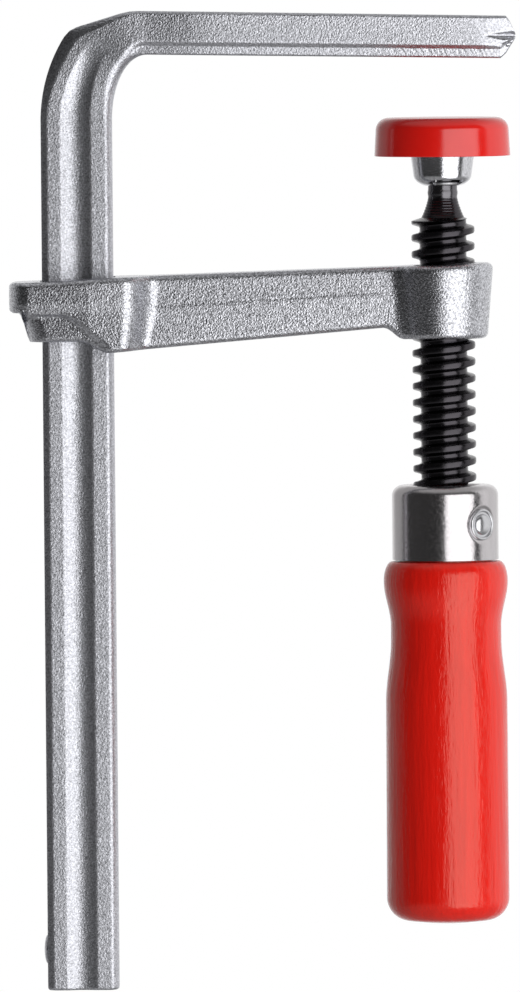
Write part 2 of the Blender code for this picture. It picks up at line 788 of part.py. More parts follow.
def make_ferrule():
    """A drawn metal cap over the handle's tenon, with a hole for the spindle."""
    outer = 0.5 * FERRULE_DIAMETER
    inner = outer - FERRULE_WALL
    hole = 0.5 * THREAD_MAJOR + FERRULE_HOLE_CLEARANCE
    profile = [(hole, FERRULE_TOP_Z)]
    for turn in quarter(CORNER_STEPS):
        inset = FERRULE_EDGE_ROUND * (1.0 - sin(turn))
        profile.append((outer - inset, FERRULE_TOP_Z - FERRULE_EDGE_ROUND * (1.0 - cos(turn))))
    profile.append((outer, FERRULE_BOTTOM_Z))
    profile.append((inner, FERRULE_BOTTOM_Z))
    profile.append((inner, FERRULE_TOP_Z - FERRULE_WALL))
    profile.append((hole, FERRULE_TOP_Z - FERRULE_WALL))
    ferrule = turned("ferrule", profile, parts, closed=True)
    combine(ferrule, rivet_hole("ferrule_rivet_hole"))
    finish(ferrule, (0.72, 0.70, 0.67), 0.10, 1.0)
    return ferrule


def handle_profile():
    """(radius, height) points: bore, tenon, rounded shoulder, waist, belly and domed end."""
    bore = 0.5 * SHANK_DIAMETER + SEAT_CLEARANCE
    tenon = 0.5 * FERRULE_DIAMETER - FERRULE_WALL - SEAT_CLEARANCE
    tenon_top = FERRULE_TOP_Z - FERRULE_WALL - SEAT_CLEARANCE
    top = FERRULE_BOTTOM_Z - SEAT_CLEARANCE
    neck = 0.5 * FERRULE_DIAMETER
    shoulder = 0.5 * HANDLE_SHOULDER_DIAMETER
    waist = 0.5 * HANDLE_WAIST_DIAMETER
    belly = 0.5 * HANDLE_BELLY_DIAMETER
    tail = 0.5 * HANDLE_TAIL_DIAMETER
    bore_end = SHANK_END_Z - SEAT_CLEARANCE
    points = [(0.0, bore_end), (bore, bore_end), (bore, tenon_top), (tenon, tenon_top), (tenon, top)]
    for turn in quarter(CORNER_STEPS):
        points.append((blend(neck, shoulder, sin(turn)), top - HANDLE_SHOULDER_DROP * (1.0 - cos(turn))))
    waves = (
        (shoulder, waist, HANDLE_SHOULDER_DROP, HANDLE_WAIST_DROP),
        (waist, belly, HANDLE_WAIST_DROP, HANDLE_BELLY_DROP),
    )
    for start, end, start_drop, end_drop in waves:
        for share in shares(BEND_STEPS)[1:]:
            radius = blend(start, end, 0.5 - 0.5 * cos(pi * share))
            points.append((radius, top - blend(start_drop, end_drop, share)))
    corner = top - HANDLE_LENGTH + HANDLE_END_ROUND + HANDLE_END_DOME
    for turn in quarter(CORNER_STEPS):
        inset = HANDLE_END_ROUND * (1.0 - cos(turn))
        points.append((tail - inset, corner - HANDLE_END_ROUND * sin(turn)))
    face = tail - HANDLE_END_ROUND
    points.append((0.5 * face, top - HANDLE_LENGTH + HANDLE_DOME_SHARE * HANDLE_END_DOME))
    points.append((0.0, top - HANDLE_LENGTH))
    return points


def make_handle():
    handle = turned("handle", handle_profile(), parts)
    combine(handle, rivet_hole("handle_rivet_hole"))
    finish(handle, (0.66, 0.012, 0.010), 0.28, 0.0)
    return handle


def make_handle_rivet():
    """A rivet through ferrule, tenon and spindle, with a domed head at each end."""
    shank = 0.5 * RIVET_DIAMETER
    head = 0.5 * RIVET_HEAD_DIAMETER
    seat = 0.5 * FERRULE_DIAMETER + PRESS_CLEARANCE
    half = [(head * sin(turn), seat + RIVET_HEAD_HEIGHT * cos(turn)) for turn in quarter(CORNER_STEPS)]
    half.append((shank, seat))
    rivet = turned("handle_rivet", half + [(radius, -z) for radius, z in reversed(half)], parts)
    point_rivet(rivet)
    finish(rivet, (0.74, 0.74, 0.74), 0.22, 1.0)
    return rivet


def build():
    frame = joint_frame("rail_frame", (RAIL_MIDDLE_X, 0.0, 0.0))
    arm_frame = joint_frame("arm_slide_frame", (RAIL_MIDDLE_X, 0.0, arm_top(RAIL_MIDDLE_X)), frame)
    feed_frame = joint_frame("spindle_feed_frame", (0.0, 0.0, BALL_Z), arm_frame)
    turn_frame = joint_frame("spindle_turn_frame", (0.0, 0.0, BALL_Z), feed_frame)
    tilt_frame = joint_frame("pad_tilt_frame", (0.0, 0.0, BALL_Z), feed_frame)
    carried = (
        (frame, (make_rail, make_stop_stud)),
        (arm_frame, (make_sliding_arm,)),
        (feed_frame, (make_retaining_ring,)),
        (turn_frame, (make_spindle, make_ferrule, make_handle, make_handle_rivet)),
        (tilt_frame, (make_pressure_plate, make_pad_cap)),
    )
    for joint, makers in carried:
        for make in makers:
            carry(joint, make())


for old in list(bpy.data.objects):
    bpy.data.objects.remove(old, do_unlink=True)
parts = new_collection("f_clamp")
cutters = new_collection("cutters")
build()
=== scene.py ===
"""Looks of an all-steel F clamp: fine surfaces, finishes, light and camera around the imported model.

Metres, in the model's own frame: +Z up the bar, +X from the bar to the spindle and +Y to the back.
"""

import json
from math import acos, atan2, cos, exp, pi, radians, sin, sqrt, tan

import bmesh
import bpy
from mathutils import Matrix, Vector


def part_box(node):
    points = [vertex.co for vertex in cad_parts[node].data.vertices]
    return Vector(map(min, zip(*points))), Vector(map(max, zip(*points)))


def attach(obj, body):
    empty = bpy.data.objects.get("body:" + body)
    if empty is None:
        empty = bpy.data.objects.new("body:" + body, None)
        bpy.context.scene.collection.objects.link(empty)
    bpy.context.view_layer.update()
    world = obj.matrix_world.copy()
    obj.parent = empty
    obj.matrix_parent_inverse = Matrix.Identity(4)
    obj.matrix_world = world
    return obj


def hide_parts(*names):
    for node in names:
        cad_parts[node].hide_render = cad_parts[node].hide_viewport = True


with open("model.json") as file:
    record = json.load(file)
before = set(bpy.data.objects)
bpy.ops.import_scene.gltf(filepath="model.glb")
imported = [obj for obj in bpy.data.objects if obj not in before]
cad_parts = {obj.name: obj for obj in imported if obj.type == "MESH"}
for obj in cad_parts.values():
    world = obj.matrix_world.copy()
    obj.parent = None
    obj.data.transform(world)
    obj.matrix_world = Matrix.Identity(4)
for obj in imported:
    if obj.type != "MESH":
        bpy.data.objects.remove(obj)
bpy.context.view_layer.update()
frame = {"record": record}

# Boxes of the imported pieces
RAIL_LOW, RAIL_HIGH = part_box("rail")
STUD_LOW, STUD_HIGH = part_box("stop_stud")
ARM_LOW, ARM_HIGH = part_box("sliding_arm")
SPINDLE_LOW, SPINDLE_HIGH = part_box("spindle")
RING_LOW, RING_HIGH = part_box("retaining_ring")
PLATE_LOW, PLATE_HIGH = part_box("pressure_plate")
CAP_LOW, CAP_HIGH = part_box("pad_cap")
FERRULE_LOW, FERRULE_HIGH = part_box("ferrule")
HANDLE_LOW, HANDLE_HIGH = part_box("handle")
RIVET_LOW, RIVET_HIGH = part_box("handle_rivet")

# Bar
RAIL_WIDTH = 0.0130
RAIL_THICKNESS = 0.0065
RAIL_INNER_ROUND = (0.00145, 0.0026)
RAIL_OUTER_ROUND = (0.0011, 0.0008)
RAIL_END_ROUND = 0.0006
OUTER_EDGE_SQUARE = 1.7
GROOVE_SHARE = 0.505
GROOVE_DEPTH = 0.00075
STUD_SHANK_SHARE = 0.65
RAIL_OUTER_X = RAIL_LOW.x
RAIL_INNER_X = RAIL_OUTER_X + RAIL_WIDTH
RAIL_MIDDLE_X = RAIL_OUTER_X + 0.5 * RAIL_WIDTH

# Bend and fixed jaw
BEND_INNER_RUN = 0.0064
BEND_INNER_RISE = 0.0118
BEND_OUTER_RADIUS = 0.0290
BEND_OUTER_TURN = radians(35.0)
BEND_OUTER_DROP = 0.0110
BEND_BEVEL_REACH = 0.0032
BEND_ARC_SHARE = 6.0 / 11.0
BEND_BEVEL_SHARE = 10.0 / 11.0
BEND_BEVEL_SWELL = (0.0014, 0.0002)
BEND_CORNER_SPREAD = 0.05
BEND_EDGE_SWELL = 0.6
BEND_GROOVE_SHARE = 0.75
BEND_FOOT_SHARE = 0.6
JAW_HEIGHT = 0.0079
JAW_HALF_DEPTH = RAIL_HIGH.y
JAW_TOE_IN = radians(1.05)
JAW_CREST_X = -0.0450
JAW_ROOT_SLOPE = 0.050
JAW_TIP_SLOPE = 0.0175
JAW_TOP_FALL = 0.0035
JAW_TOP_ROUND = 0.0004
JAW_FOOT_FLAT = 0.0040
JAW_BAND_FOOT = (0.0006, 0.0045)
JAW_BAND_TOP = (0.00160, 0.00462)
JAW_LEDGE_TOP = (0.0024, 0.0052)
JAW_FOOT_HEIGHT = 0.0027
JAW_RIDGE_PITCH = 0.0007
JAW_RIDGE_DEPTH = 0.000025
JAW_RIDGE_START = -0.0090
JAW_RIDGE_LEAN = 0.6
JAW_FACET_START = 0.0062
JAW_FACET_CUT = 0.0003
JAW_VEIN_START = 0.0078
JAW_VEIN_DEPTH = 0.0008
JAW_VEIN_WIDTH = 0.0005

# Veins at the jaw's tip: height as a share of the jaw, width at the start, widening and depth
JAW_VEINS = ((0.54, 0.35, 1.0, 1.0), (0.33, 0.6, 0.0, 0.45))

# Outline of the jaw's tip: distance from the end, and height as a share of the jaw
TIP_TOP = ((-0.00170, 1.0), (-0.00115, 0.917), (0.0, 0.60))
TIP_FOOT = ((-0.00270, 0.0), (-0.00169, 0.123), (0.0, 0.47))

# Sliding arm
ARM_TOP_RISE = radians(1.70)
ARM_DROP = 0.0376
BEAM_DEPTH = 0.0090
BEAM_ROOT_HEIGHT = 0.01365
BEAM_END_HEIGHT = 0.0110
BEAM_END_X = -0.0094
FORGING_ROUND = 0.0011
PARTING_BULGE = 0.00012
SEAM_STEP = 0.00006
SEAM_ROW = 18.5
EYE_HALF_DEPTH = ARM_HIGH.y - PARTING_BULGE
EYE_END_ROUND = 0.0036
EYE_END_DEPTH = 0.0060
EYE_RIDGE_X = -0.0645
EYE_RIDGE_SLOPE = 0.05
EYE_TOP_DROP = 0.0003
EYE_CORNER_ROUND = 0.0012
EYE_CORNER_SHARE = 0.6
EYE_SLOT_CLEARANCE = 0.00035
SHOULDER_START = 0.0014
SHOULDER_RUN = 0.0071
SHOULDER_PARTING = 0.0053
SHOULDER_SHIFT = 0.0005
SHOULDER_DRAW = 0.20
COLLAR_HEIGHT = 0.0058
COLLAR_CHAMFER_HEIGHT = 0.0017
COLLAR_CHAMFER_DEPTH = 0.0005
COLLAR_CHAMFER_KEPT = 0.4
LUG_HEIGHT = 0.0111
LUG_STEP = 0.0019
LUG_SLANT = 0.0019
RECESS_DEPTH = 0.0009
RECESS_WALL = 0.0008
RECESS_CURVE_START = 0.0093
RECESS_CURVE_EASE = 0.0038
RECESS_FOOT_RUN = 0.0028
RECESS_FOOT_RISE = 0.0019
BOSS_HEIGHT = 0.0135
BOSS_RADIUS = 0.0091
BOSS_FOOT_RADIUS = 0.0080
BOSS_FILLET = 0.0045
BOSS_DROP_START = -0.0115
BOSS_DROP_RUN = 0.0046
BOSS_TURN = radians(-30.0)
BOSS_END_TURN = radians(87.5)
EYE_X = ARM_LOW.x
SHOULDER_X = RAIL_INNER_X + SHOULDER_START
EYE_TOP_Z = EYE_X * tan(ARM_TOP_RISE) - ARM_DROP
COLLAR_BOTTOM_Z = EYE_TOP_Z - COLLAR_HEIGHT
LUG_BOTTOM_Z = EYE_TOP_Z - LUG_HEIGHT
BOSS_BOTTOM_Z = -ARM_DROP - BOSS_HEIGHT

# Spindle
PITCH = 0.0030
THREAD_MAJOR = 0.0115
THREAD_MINOR = 0.0085
THREAD_CREST = 0.0011
THREAD_FLANK = radians(15.0)
THREAD_ROUND = 0.00028
THREAD_CLEARANCE = 0.0003
THREAD_PHASE = 0.0017
BALL_RADIUS = 0.0035
BALL_Z = SPINDLE_HIGH.z - BALL_RADIUS
NECK_DIAMETER = 0.0053
NECK_LENGTH = 0.0020
NECK_SHOULDER_SHARE = 0.3
FLARE_LENGTH = 0.0038
FLARE_DIAMETER = 0.0078
FLARE_HOLLOW = 1.4
FLARE_MARK_PITCH = 0.0005
FLARE_MARK_DEPTH = 0.00004
NECK_BULGE = 0.00010
RUNOUT_LENGTH = 0.0006
WEAR_RAGGED = 0.0016
SHANK_DIAMETER = 0.0080
FLARE_Z = PLATE_LOW.z - NECK_LENGTH
RUNOUT_Z = FLARE_Z - FLARE_LENGTH

# Swivel
CUP_DIAMETER = 0.0120
CUP_CORNER_X = 0.0020
CUP_CORNER_RUN = 0.0033
CUP_CORNER_RISE = 0.0022
PLATE_THICKNESS = 0.0036
PLATE_EDGE_ROUND = 0.0004
CHANNEL_RADIUS = 0.0048
SEAT_CLEARANCE = 0.0003
SEAT_RADIUS = BALL_RADIUS + SEAT_CLEARANCE
MOUTH_RADIUS = 0.0032
NOTCH_HEIGHT = 0.0011
NOTCH_REACH = 0.6
NOTCH_START = radians(-24.0)
NOTCH_END = radians(52.0)
RING_WIRE = 0.0008
RING_DIAMETER = 0.0062
RING_DROP = 0.00085
RING_HOOK = 0.0010
RING_OPENING = radians(36.0)
RING_TURN = radians(-133.5)
CAP_TOP_DIAMETER = 0.0242
CAP_EDGE_ROUND = 0.0023
CAP_TOP_WALL = 0.0014
CAP_LIP = 0.0006
CAP_LIP_HEIGHT = 0.0010

# Ferrule, rivet and handle
FERRULE_WALL = 0.0010
FERRULE_EDGE_ROUND = 0.0020
FERRULE_HOLE_RADIUS = 0.00615
FERRULE_HOLE_ROUND = 0.0004
DIMPLE_FLAT = 0.0029
DIMPLE_RADIUS = 0.0035
DIMPLE_DEPTH = 0.00030
RIVET_TURN = radians(45.0)
RIVET_Z = 0.5 * (RIVET_LOW.z + RIVET_HIGH.z)
RIVET_DOME_RADIUS = 0.0019
RIVET_DOME_HEIGHT = 0.0007
RIVET_RIM_RADIUS = 0.0029
RIVET_RIM_WIDTH = 0.0006
RIVET_RIM_HEIGHT = 0.00025
RIVET_SHANK_SHARE = 0.6
HANDLE_SHOULDER_DIAMETER = 0.0226
HANDLE_SHOULDER_DROP = 0.0036
HANDLE_WAIST_DIAMETER = 0.0201
HANDLE_WAIST_DROP = 0.0118
HANDLE_WAIST_LENGTH = 0.0024
HANDLE_BELLY_DIAMETER = 0.0221
HANDLE_BELLY_DROP = 0.0258
HANDLE_TAIL_DIAMETER = 0.0223
HANDLE_END_ROUND = 0.0042
HANDLE_END_DOME = 0.0005

# Fineness
TURN_STEPS = 112
THREAD_STEPS = 44
ROUND_STEPS = 6
FACE_STEPS = 32
ARM_FACE_STEPS = 44
BEND_STEPS = 22
CURVE_STEPS = 40
WELD = 0.000002
SHARP_ANGLE = radians(34.0)

# Photograph: 520 by 992 pixels, with the model's origin at one of them
PHOTO_WIDTH = 520
PHOTO_HEIGHT = 992
ORIGIN_PIXEL_X = 441.5
ORIGIN_PIXEL_Y = 57.4
PIXELS_PER_METRE = 5500.0
CAMERA_ROLL = 0.0085
CAMERA_RISE = radians(2.2)
CAMERA_DISTANCE = 3.0
SENSOR = 36.0

# Studio
FLOOR_DROP = 0.125
FLOOR_NEAR = 0.20
FLOOR_FAR = 0.60
FLOOR_CLEAR = 0.6
KEY_LEFT = Vector((0.000, -0.642, 0.0))
KEY_RIGHT = Vector((0.527, -0.263, 0.0))
KEY_HEIGHT = 0.75
KEY_POWER = 2.85
FILL_LEFT = Vector((0.080, -1.050, 0.0))
FILL_RIGHT = Vector((0.920, -0.450, 0.0))
FILL_HEIGHT = 1.5
FILL_POWER = 4.2
LAMP_RISE = -0.22
# Studio brightness by share of a turn, from the back past the left, the camera and the right
STUDIO_TONES = (
    (0.000, 0.50),
    (0.188, 0.44),
    (0.215, 0.050),
    (0.500, 0.030),
    (0.670, 0.040),
    (0.715, 0.050),
    (0.738, 0.97),
    (1.000, 0.74),
)
CEILING_TONE = 0.44
GROUND_TONE = 0.30
BACKDROP_EDGE = 0.72

# Finishes
CAP_GLOSS = 0.85
HANDLE_GLOSS = 0.68
BAR_ROUGHNESS = 0.42
BAR_GRAIN = 0.00008
JAW_ROUGHNESS = 0.26
TIP_GRAIN_SHARE = 0.3
NOISE_SPAN = (0.3, 0.7)


# Helpers


def blend(start, end, share):
    return start + (end - start) * share


def clamp(share):
    return min(max(share, 0.0), 1.0)


def ease(share):
    """An S-curve from 0 to 1 that starts and ends level."""
    share = clamp(share)
    return share**3 * (share * (6.0 * share - 15.0) + 10.0)


def shares(steps):
    return [step / steps for step in range(steps + 1)]


def spaced(start, end, steps):
    """Evenly spaced places from after a start up to an end."""
    return [blend(start, end, share) for share in shares(steps)[1:]]


def quarter(steps):
    return [0.5 * pi * share for share in shares(steps)]


def upper_round(edge, top, radius, steps=ROUND_STEPS):
    """(distance, height) points over a rounded upper edge, from the middle outwards."""
    points = []
    for turn in quarter(steps):
        points.append((edge - radius * (1.0 - sin(turn)), top - radius * (1.0 - cos(turn))))
    return points


def lower_round(edge, bottom, radius, steps=ROUND_STEPS):
    """(distance, height) points under a rounded lower edge, from the outside inwards."""
    points = []
    for turn in quarter(steps):
        points.append((edge - radius * (1.0 - cos(turn)), bottom + radius * (1.0 - sin(turn))))
    return points


def trace(points, at):
    """Height of a polyline of (place, height) points at a place."""
    for (start, low), (end, high) in zip(points, points[1:]):
        if at <= end:
            return blend(low, high, clamp((at - start) / (end - start)))
    return points[-1][1]


def add_object(name, data):
    item = bpy.data.objects.new(name, data)
    bpy.context.scene.collection.objects.link(item)
    return item


def smooth(piece, angle=SHARP_ANGLE):
    piece.data.shade_smooth()
    piece.data.set_sharp_from_angle(angle=angle)
    return piece


def from_skin(name, skin):
    bmesh.ops.recalc_face_normals(skin, faces=skin.faces)
    mesh = bpy.data.meshes.new(name)
    skin.to_mesh(mesh)
    skin.free()
    return smooth(add_object(name, mesh))


def bridge(skin, row, following, closed=True):
    count = len(row)
    for index in range(count if closed else count - 1):
        beside = (index + 1) % count
        corners = (row[index], row[beside], following[beside], following[index])
        unlike = list(dict.fromkeys(corners))
        if len(unlike) > 2:
            skin.faces.new(unlike)


def loft(name, flanks):
    """A closed skin through flanks: rows of points down the front that are mirrored to the back."""
    skin = bmesh.new()
    rows = []
    for flank in flanks:
        front = [skin.verts.new((x, -y, z)) for x, y, z in flank]
        back = [skin.verts.new((x, y, z)) for x, y, z in flank]
        rows.append(front + back[::-1])
    for row, following in zip(rows, rows[1:]):
        bridge(skin, row, following)
    half = len(rows[0]) // 2
    for row in (rows[0], rows[-1]):
        bridge(skin, row[:half], row[half:][::-1], closed=False)
    return from_skin(name, skin)


def lathe(name, profile, steps=TURN_STEPS, closed=False):
    """A skin turned about the Z axis from (radius, height) points, with points on the axis shared."""
    skin = bmesh.new()
    columns = [[] for _ in range(steps)]
    for radius, z in profile:
        pole = skin.verts.new((0.0, 0.0, z)) if radius < WELD else None
        for step, column in enumerate(columns):
            turn = 2.0 * pi * step / steps
            column.append(pole or skin.verts.new((radius * cos(turn), radius * sin(turn), z)))
    for column, following in zip(columns, columns[1:] + columns[:1]):
        bridge(skin, column, following, closed=closed)
    return from_skin(name, skin)


def sweep(name, sections):
    """A closed skin through rings of points, with a face over each end."""
    skin = bmesh.new()
    rows = [[skin.verts.new(place) for place in section] for section in sections]
    for row, following in zip(rows, rows[1:]):
        bridge(skin, row, following)
    skin.faces.new(rows[0])
    skin.faces.new(rows[-1])
    return from_skin(name, skin)


def combine(piece, cutter, operation="DIFFERENCE"):
    """Cuts or joins with another solid, which is then removed."""
    boolean = piece.modifiers.new(cutter.name, "BOOLEAN")
    boolean.operation = operation
    boolean.object = cutter
    graph = bpy.context.evaluated_depsgraph_get()
    mesh = bpy.data.meshes.new_from_object(piece.evaluated_get(graph))
    piece.modifiers.clear()
    piece.data = mesh
    bpy.data.objects.remove(cutter, do_unlink=True)
    return smooth(piece)


def dress(piece, node, material):
    """Puts a finished piece in a node's place, on the node's body and with its finish."""
    record = frame["record"]
    body = next(name for name, nodes in record["behaviour"]["bodies"].items() if node in nodes)
    piece.data.materials.clear()
    piece.data.materials.append(material)
    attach(piece, body)
    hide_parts(node)


# Bar with its fixed jaw


def jaw_foot(x):
    return -x * tan(JAW_TOE_IN)


def jaw_height(x):
    return JAW_HEIGHT - JAW_TOP_FALL * max(x - JAW_CREST_X, 0.0)


def jaw_top(x):
    return jaw_foot(x) + jaw_height(x)


def bar_edge():
    """(run, depth) points round the bar's inner edge."""
    run, depth = RAIL_INNER_ROUND
    half = 0.5 * RAIL_THICKNESS
    turns = quarter(3 * ROUND_STEPS - 1)
    return [(run * (1.0 - cos(turn)), half - depth * (1.0 - sin(turn))) for turn in turns]


def foot_edge():
    """(run, depth) points up the jaw's lower edge: rounded foot, band and overhanging ledge."""
    band_run, band_depth = JAW_BAND_FOOT
    edge = []
    for turn in quarter(ROUND_STEPS - 1):
        edge.append((band_run * (1.0 - cos(turn)), blend(JAW_FOOT_FLAT, band_depth, sin(turn))))
    for start, end in ((JAW_BAND_FOOT, JAW_BAND_TOP), (JAW_BAND_TOP, JAW_LEDGE_TOP)):
        for share in shares(ROUND_STEPS - 1)[1:]:
            edge.append(tuple(Vector(start).lerp(Vector(end), share)))
    for share in (0.5, 1.0):
        run = blend(JAW_LEDGE_TOP[0], JAW_FOOT_HEIGHT, share)
        edge.append((run, blend(JAW_LEDGE_TOP[1], JAW_HALF_DEPTH, share)))
    return edge


BAR_EDGE = bar_edge()
FOOT_EDGE = foot_edge()


def bar_line(length, half_depth, formed, edge_scale, outer, groove_depth):
    """(run, depth) points across one face, from the bar's inner edge to its outer edge."""
    edge = [Vector(bar).lerp(Vector(foot), formed) for bar, foot in zip(BAR_EDGE, FOOT_EDGE)]
    lift = half_depth - edge[-1].y
    line = [(run * edge_scale, depth + lift) for run, depth in edge]
    inner_run = line[-1][0]
    outer_run, outer_depth = outer
    flat = length - inner_run - outer_run
    middle = inner_run + 0.5 * flat
    groove_half = 0.5 * GROOVE_SHARE * flat
    for share in shares(FACE_STEPS)[1:-1]:
        run = inner_run + flat * share
        side = (run - middle) / groove_half
        line.append((run, half_depth - groove_depth * max(0.0, 1.0 - side**2)))
    for turn in quarter(ROUND_STEPS):
        drop = outer_depth * (1.0 - max(cos(turn), 0.0) ** OUTER_EDGE_SQUARE)
        line.append((length - outer_run * (1.0 - sin(turn) ** OUTER_EDGE_SQUARE), half_depth - drop))
    return line


def lay_line(line, inner, outer):
    """Points of a face line between two (x, z) places."""
    inner = Vector(inner)
    across = (Vector(outer) - inner).normalized()
    return [(inner.x + across.x * run, depth, inner.y + across.y * run) for run, depth in line]


def rail_flank(z, inset):
    line = bar_line(RAIL_WIDTH, 0.5 * RAIL_THICKNESS, 0.0, 1.0, RAIL_OUTER_ROUND, GROOVE_DEPTH)
    kept = 1.0 - 2.0 * inset / RAIL_WIDTH
    line = [(run * kept, max(depth - inset, inset)) for run, depth in line]
    return lay_line(line, (RAIL_INNER_X - inset, z), (RAIL_OUTER_X + inset, z))


def jaw_slimming(x):
    """How much thinner the jaw is than at its thickest place, on each face."""
    behind = JAW_ROOT_SLOPE * max(JAW_CREST_X - x, 0.0)
    return behind + JAW_TIP_SLOPE * max(x - JAW_CREST_X, 0.0)


def bend_arc(turn):
    x = RAIL_OUTER_X + BEND_OUTER_RADIUS * (1.0 - cos(turn))
    return x, BEND_OUTER_RADIUS * sin(turn) - BEND_OUTER_DROP


def bend_contour(share):
    """A large arc, a straight bevel and the start of the jaw's top, with sharp corners."""
    bevel_x = RAIL_INNER_X + BEND_BEVEL_REACH
    if share <= BEND_ARC_SHARE:
        return bend_arc(BEND_OUTER_TURN * share / BEND_ARC_SHARE)
    if share <= BEND_BEVEL_SHARE:
        along = (share - BEND_ARC_SHARE) / (BEND_BEVEL_SHARE - BEND_ARC_SHARE)
        arc_x, arc_z = bend_arc(BEND_OUTER_TURN)
        return blend(arc_x, bevel_x, along), blend(arc_z, jaw_top(bevel_x), along)
    along = (share - BEND_BEVEL_SHARE) / (1.0 - BEND_BEVEL_SHARE)
    x = blend(bevel_x, RAIL_INNER_X + BEND_INNER_RUN, along)
    return x, jaw_top(x)


def bend_outer(share):
    """The bend's outer contour with its corners rounded off."""
    beside = [clamp(share + BEND_CORNER_SPREAD * side) for side in (-1.0, 0.0, 0.0, 1.0)]
    places = [Vector(bend_contour(place)) for place in beside]
    return sum(places, Vector((0.0, 0.0))) / len(places)


def bend_flank(share):
    end_x = RAIL_INNER_X + BEND_INNER_RUN
    start_z = jaw_foot(end_x) - BEND_INNER_RISE
    turn = 0.5 * pi * share
    inner = Vector((end_x - BEND_INNER_RUN * cos(turn), start_z + BEND_INNER_RISE * sin(turn)))
    outer = bend_outer(share)
    formed = ease(share)
    swell = sin(pi * share) ** 2
    outer_round = []
    for start, more in zip(RAIL_OUTER_ROUND, BEND_BEVEL_SWELL):
        outer_round.append(blend(start, JAW_TOP_ROUND, formed) + swell * more)
    line = bar_line(
        (outer - inner).length,
        blend(0.5 * RAIL_THICKNESS, JAW_HALF_DEPTH, formed),
        ease((share - BEND_FOOT_SHARE) / (1.0 - BEND_FOOT_SHARE)),
        1.0 + BEND_EDGE_SWELL * swell,
        outer_round,
        GROOVE_DEPTH * (1.0 - ease(share / BEND_GROOVE_SHARE)),
    )
    slim = formed * jaw_slimming(end_x)
    return lay_line([(run, depth - slim) for run, depth in line], inner, outer)


def jaw_flank(x):
    back = x - RAIL_HIGH.x
    whole = jaw_height(x)
    low = jaw_foot(x) + whole * trace(TIP_FOOT, back)
    high = jaw_foot(x) + whole * trace(TIP_TOP, back)
    kept = (high - low) / whole
    taper = clamp((x - JAW_FACET_START) / (RAIL_HIGH.x - JAW_FACET_START))
    vein = clamp((x - JAW_VEIN_START) / (RAIL_HIGH.x - JAW_VEIN_START))
    ridged = ease((x - JAW_RIDGE_START) / (4.0 * JAW_RIDGE_PITCH)) * (1.0 - taper)
    outer = 2 * [JAW_TOP_ROUND * kept]
    line = bar_line(high - low, JAW_HALF_DEPTH, 1.0, kept, outer, 0.0)
    cut = jaw_slimming(x) + JAW_FACET_CUT * taper**2
    shaped = []
    for run, depth in line:
        height = (low - jaw_foot(x) + run) / whole
        depth -= cut
        for level, width, widening, share in JAW_VEINS:
            away = (height - level) * whole / (JAW_VEIN_WIDTH * (width + widening * vein))
            depth -= JAW_VEIN_DEPTH * vein * share * exp(-(away**2))
        if JAW_BAND_FOOT[0] < run < JAW_BAND_TOP[0]:
            along = 2.0 * pi * (x + JAW_RIDGE_LEAN * run) / JAW_RIDGE_PITCH
            uneven = 2.2 * sin(0.23 * along) + 1.3 * sin(0.61 * along)
            depth += ridged * JAW_RIDGE_DEPTH * sin(along + uneven)
        shaped.append((run, depth))
    return lay_line(shaped, (x, low), (x, high))


def jaw_stations():
    start = RAIL_INNER_X + BEND_INNER_RUN
    ridge_step = JAW_RIDGE_PITCH / 5.0
    stations = spaced(start, JAW_RIDGE_START, 2 * ROUND_STEPS)
    while stations[-1] + ridge_step < RAIL_HIGH.x:
        stations.append(stations[-1] + ridge_step)
    return stations[:-1] + [RAIL_HIGH.x]


def make_rail():
    flanks = []
    for turn in quarter(ROUND_STEPS):
        z = RAIL_LOW.z + RAIL_END_ROUND * (1.0 - cos(turn))
        flanks.append(rail_flank(z, RAIL_END_ROUND * (1.0 - sin(turn))))
    flanks += [bend_flank(share) for share in shares(2 * BEND_STEPS)]
    flanks += [jaw_flank(x) for x in jaw_stations()]
    return loft("rail_fine", flanks)


def make_stop_stud():
    """A headed pin in the bar's outer edge, turned about its own axis and then laid over."""
    head = 0.5 * (STUD_HIGH.z - STUD_LOW.z)
    dome = RAIL_OUTER_X - STUD_LOW.x
    depth = STUD_HIGH.x - RAIL_OUTER_X
    shank = STUD_SHANK_SHARE * head
    profile = [(head * sin(turn), dome * cos(turn)) for turn in quarter(2 * ROUND_STEPS)]
    profile += [(shank, 0.0), (shank, -depth), (0.0, -depth)]
    stud = lathe("stop_stud_fine", profile, TURN_STEPS // 2)
    middle = Vector((RAIL_OUTER_X, 0.0, 0.5 * (STUD_LOW.z + STUD_HIGH.z)))
    stud.data.transform(Matrix.Translation(middle) @ Matrix.Rotation(-0.5 * pi, 4, "Y"))
    return stud


# Sliding arm


def eye_corner(x):
    """How far the rounded corner of the eye's left end lies within its outline."""
    left = EYE_CORNER_ROUND - min(x - EYE_X, EYE_CORNER_ROUND)
    return EYE_CORNER_SHARE * (EYE_CORNER_ROUND - sqrt(EYE_CORNER_ROUND**2 - left**2))


def arm_top(x):
    drop = eye_corner(x) + EYE_TOP_DROP * ease((RAIL_INNER_X - x) / RAIL_WIDTH)
    return x * tan(ARM_TOP_RISE) - ARM_DROP - drop


def beam_bottom(x):
    share = (x - RAIL_INNER_X) / (BEAM_END_X - RAIL_INNER_X)
    return arm_top(x) - blend(BEAM_ROOT_HEIGHT, BEAM_END_HEIGHT, share)


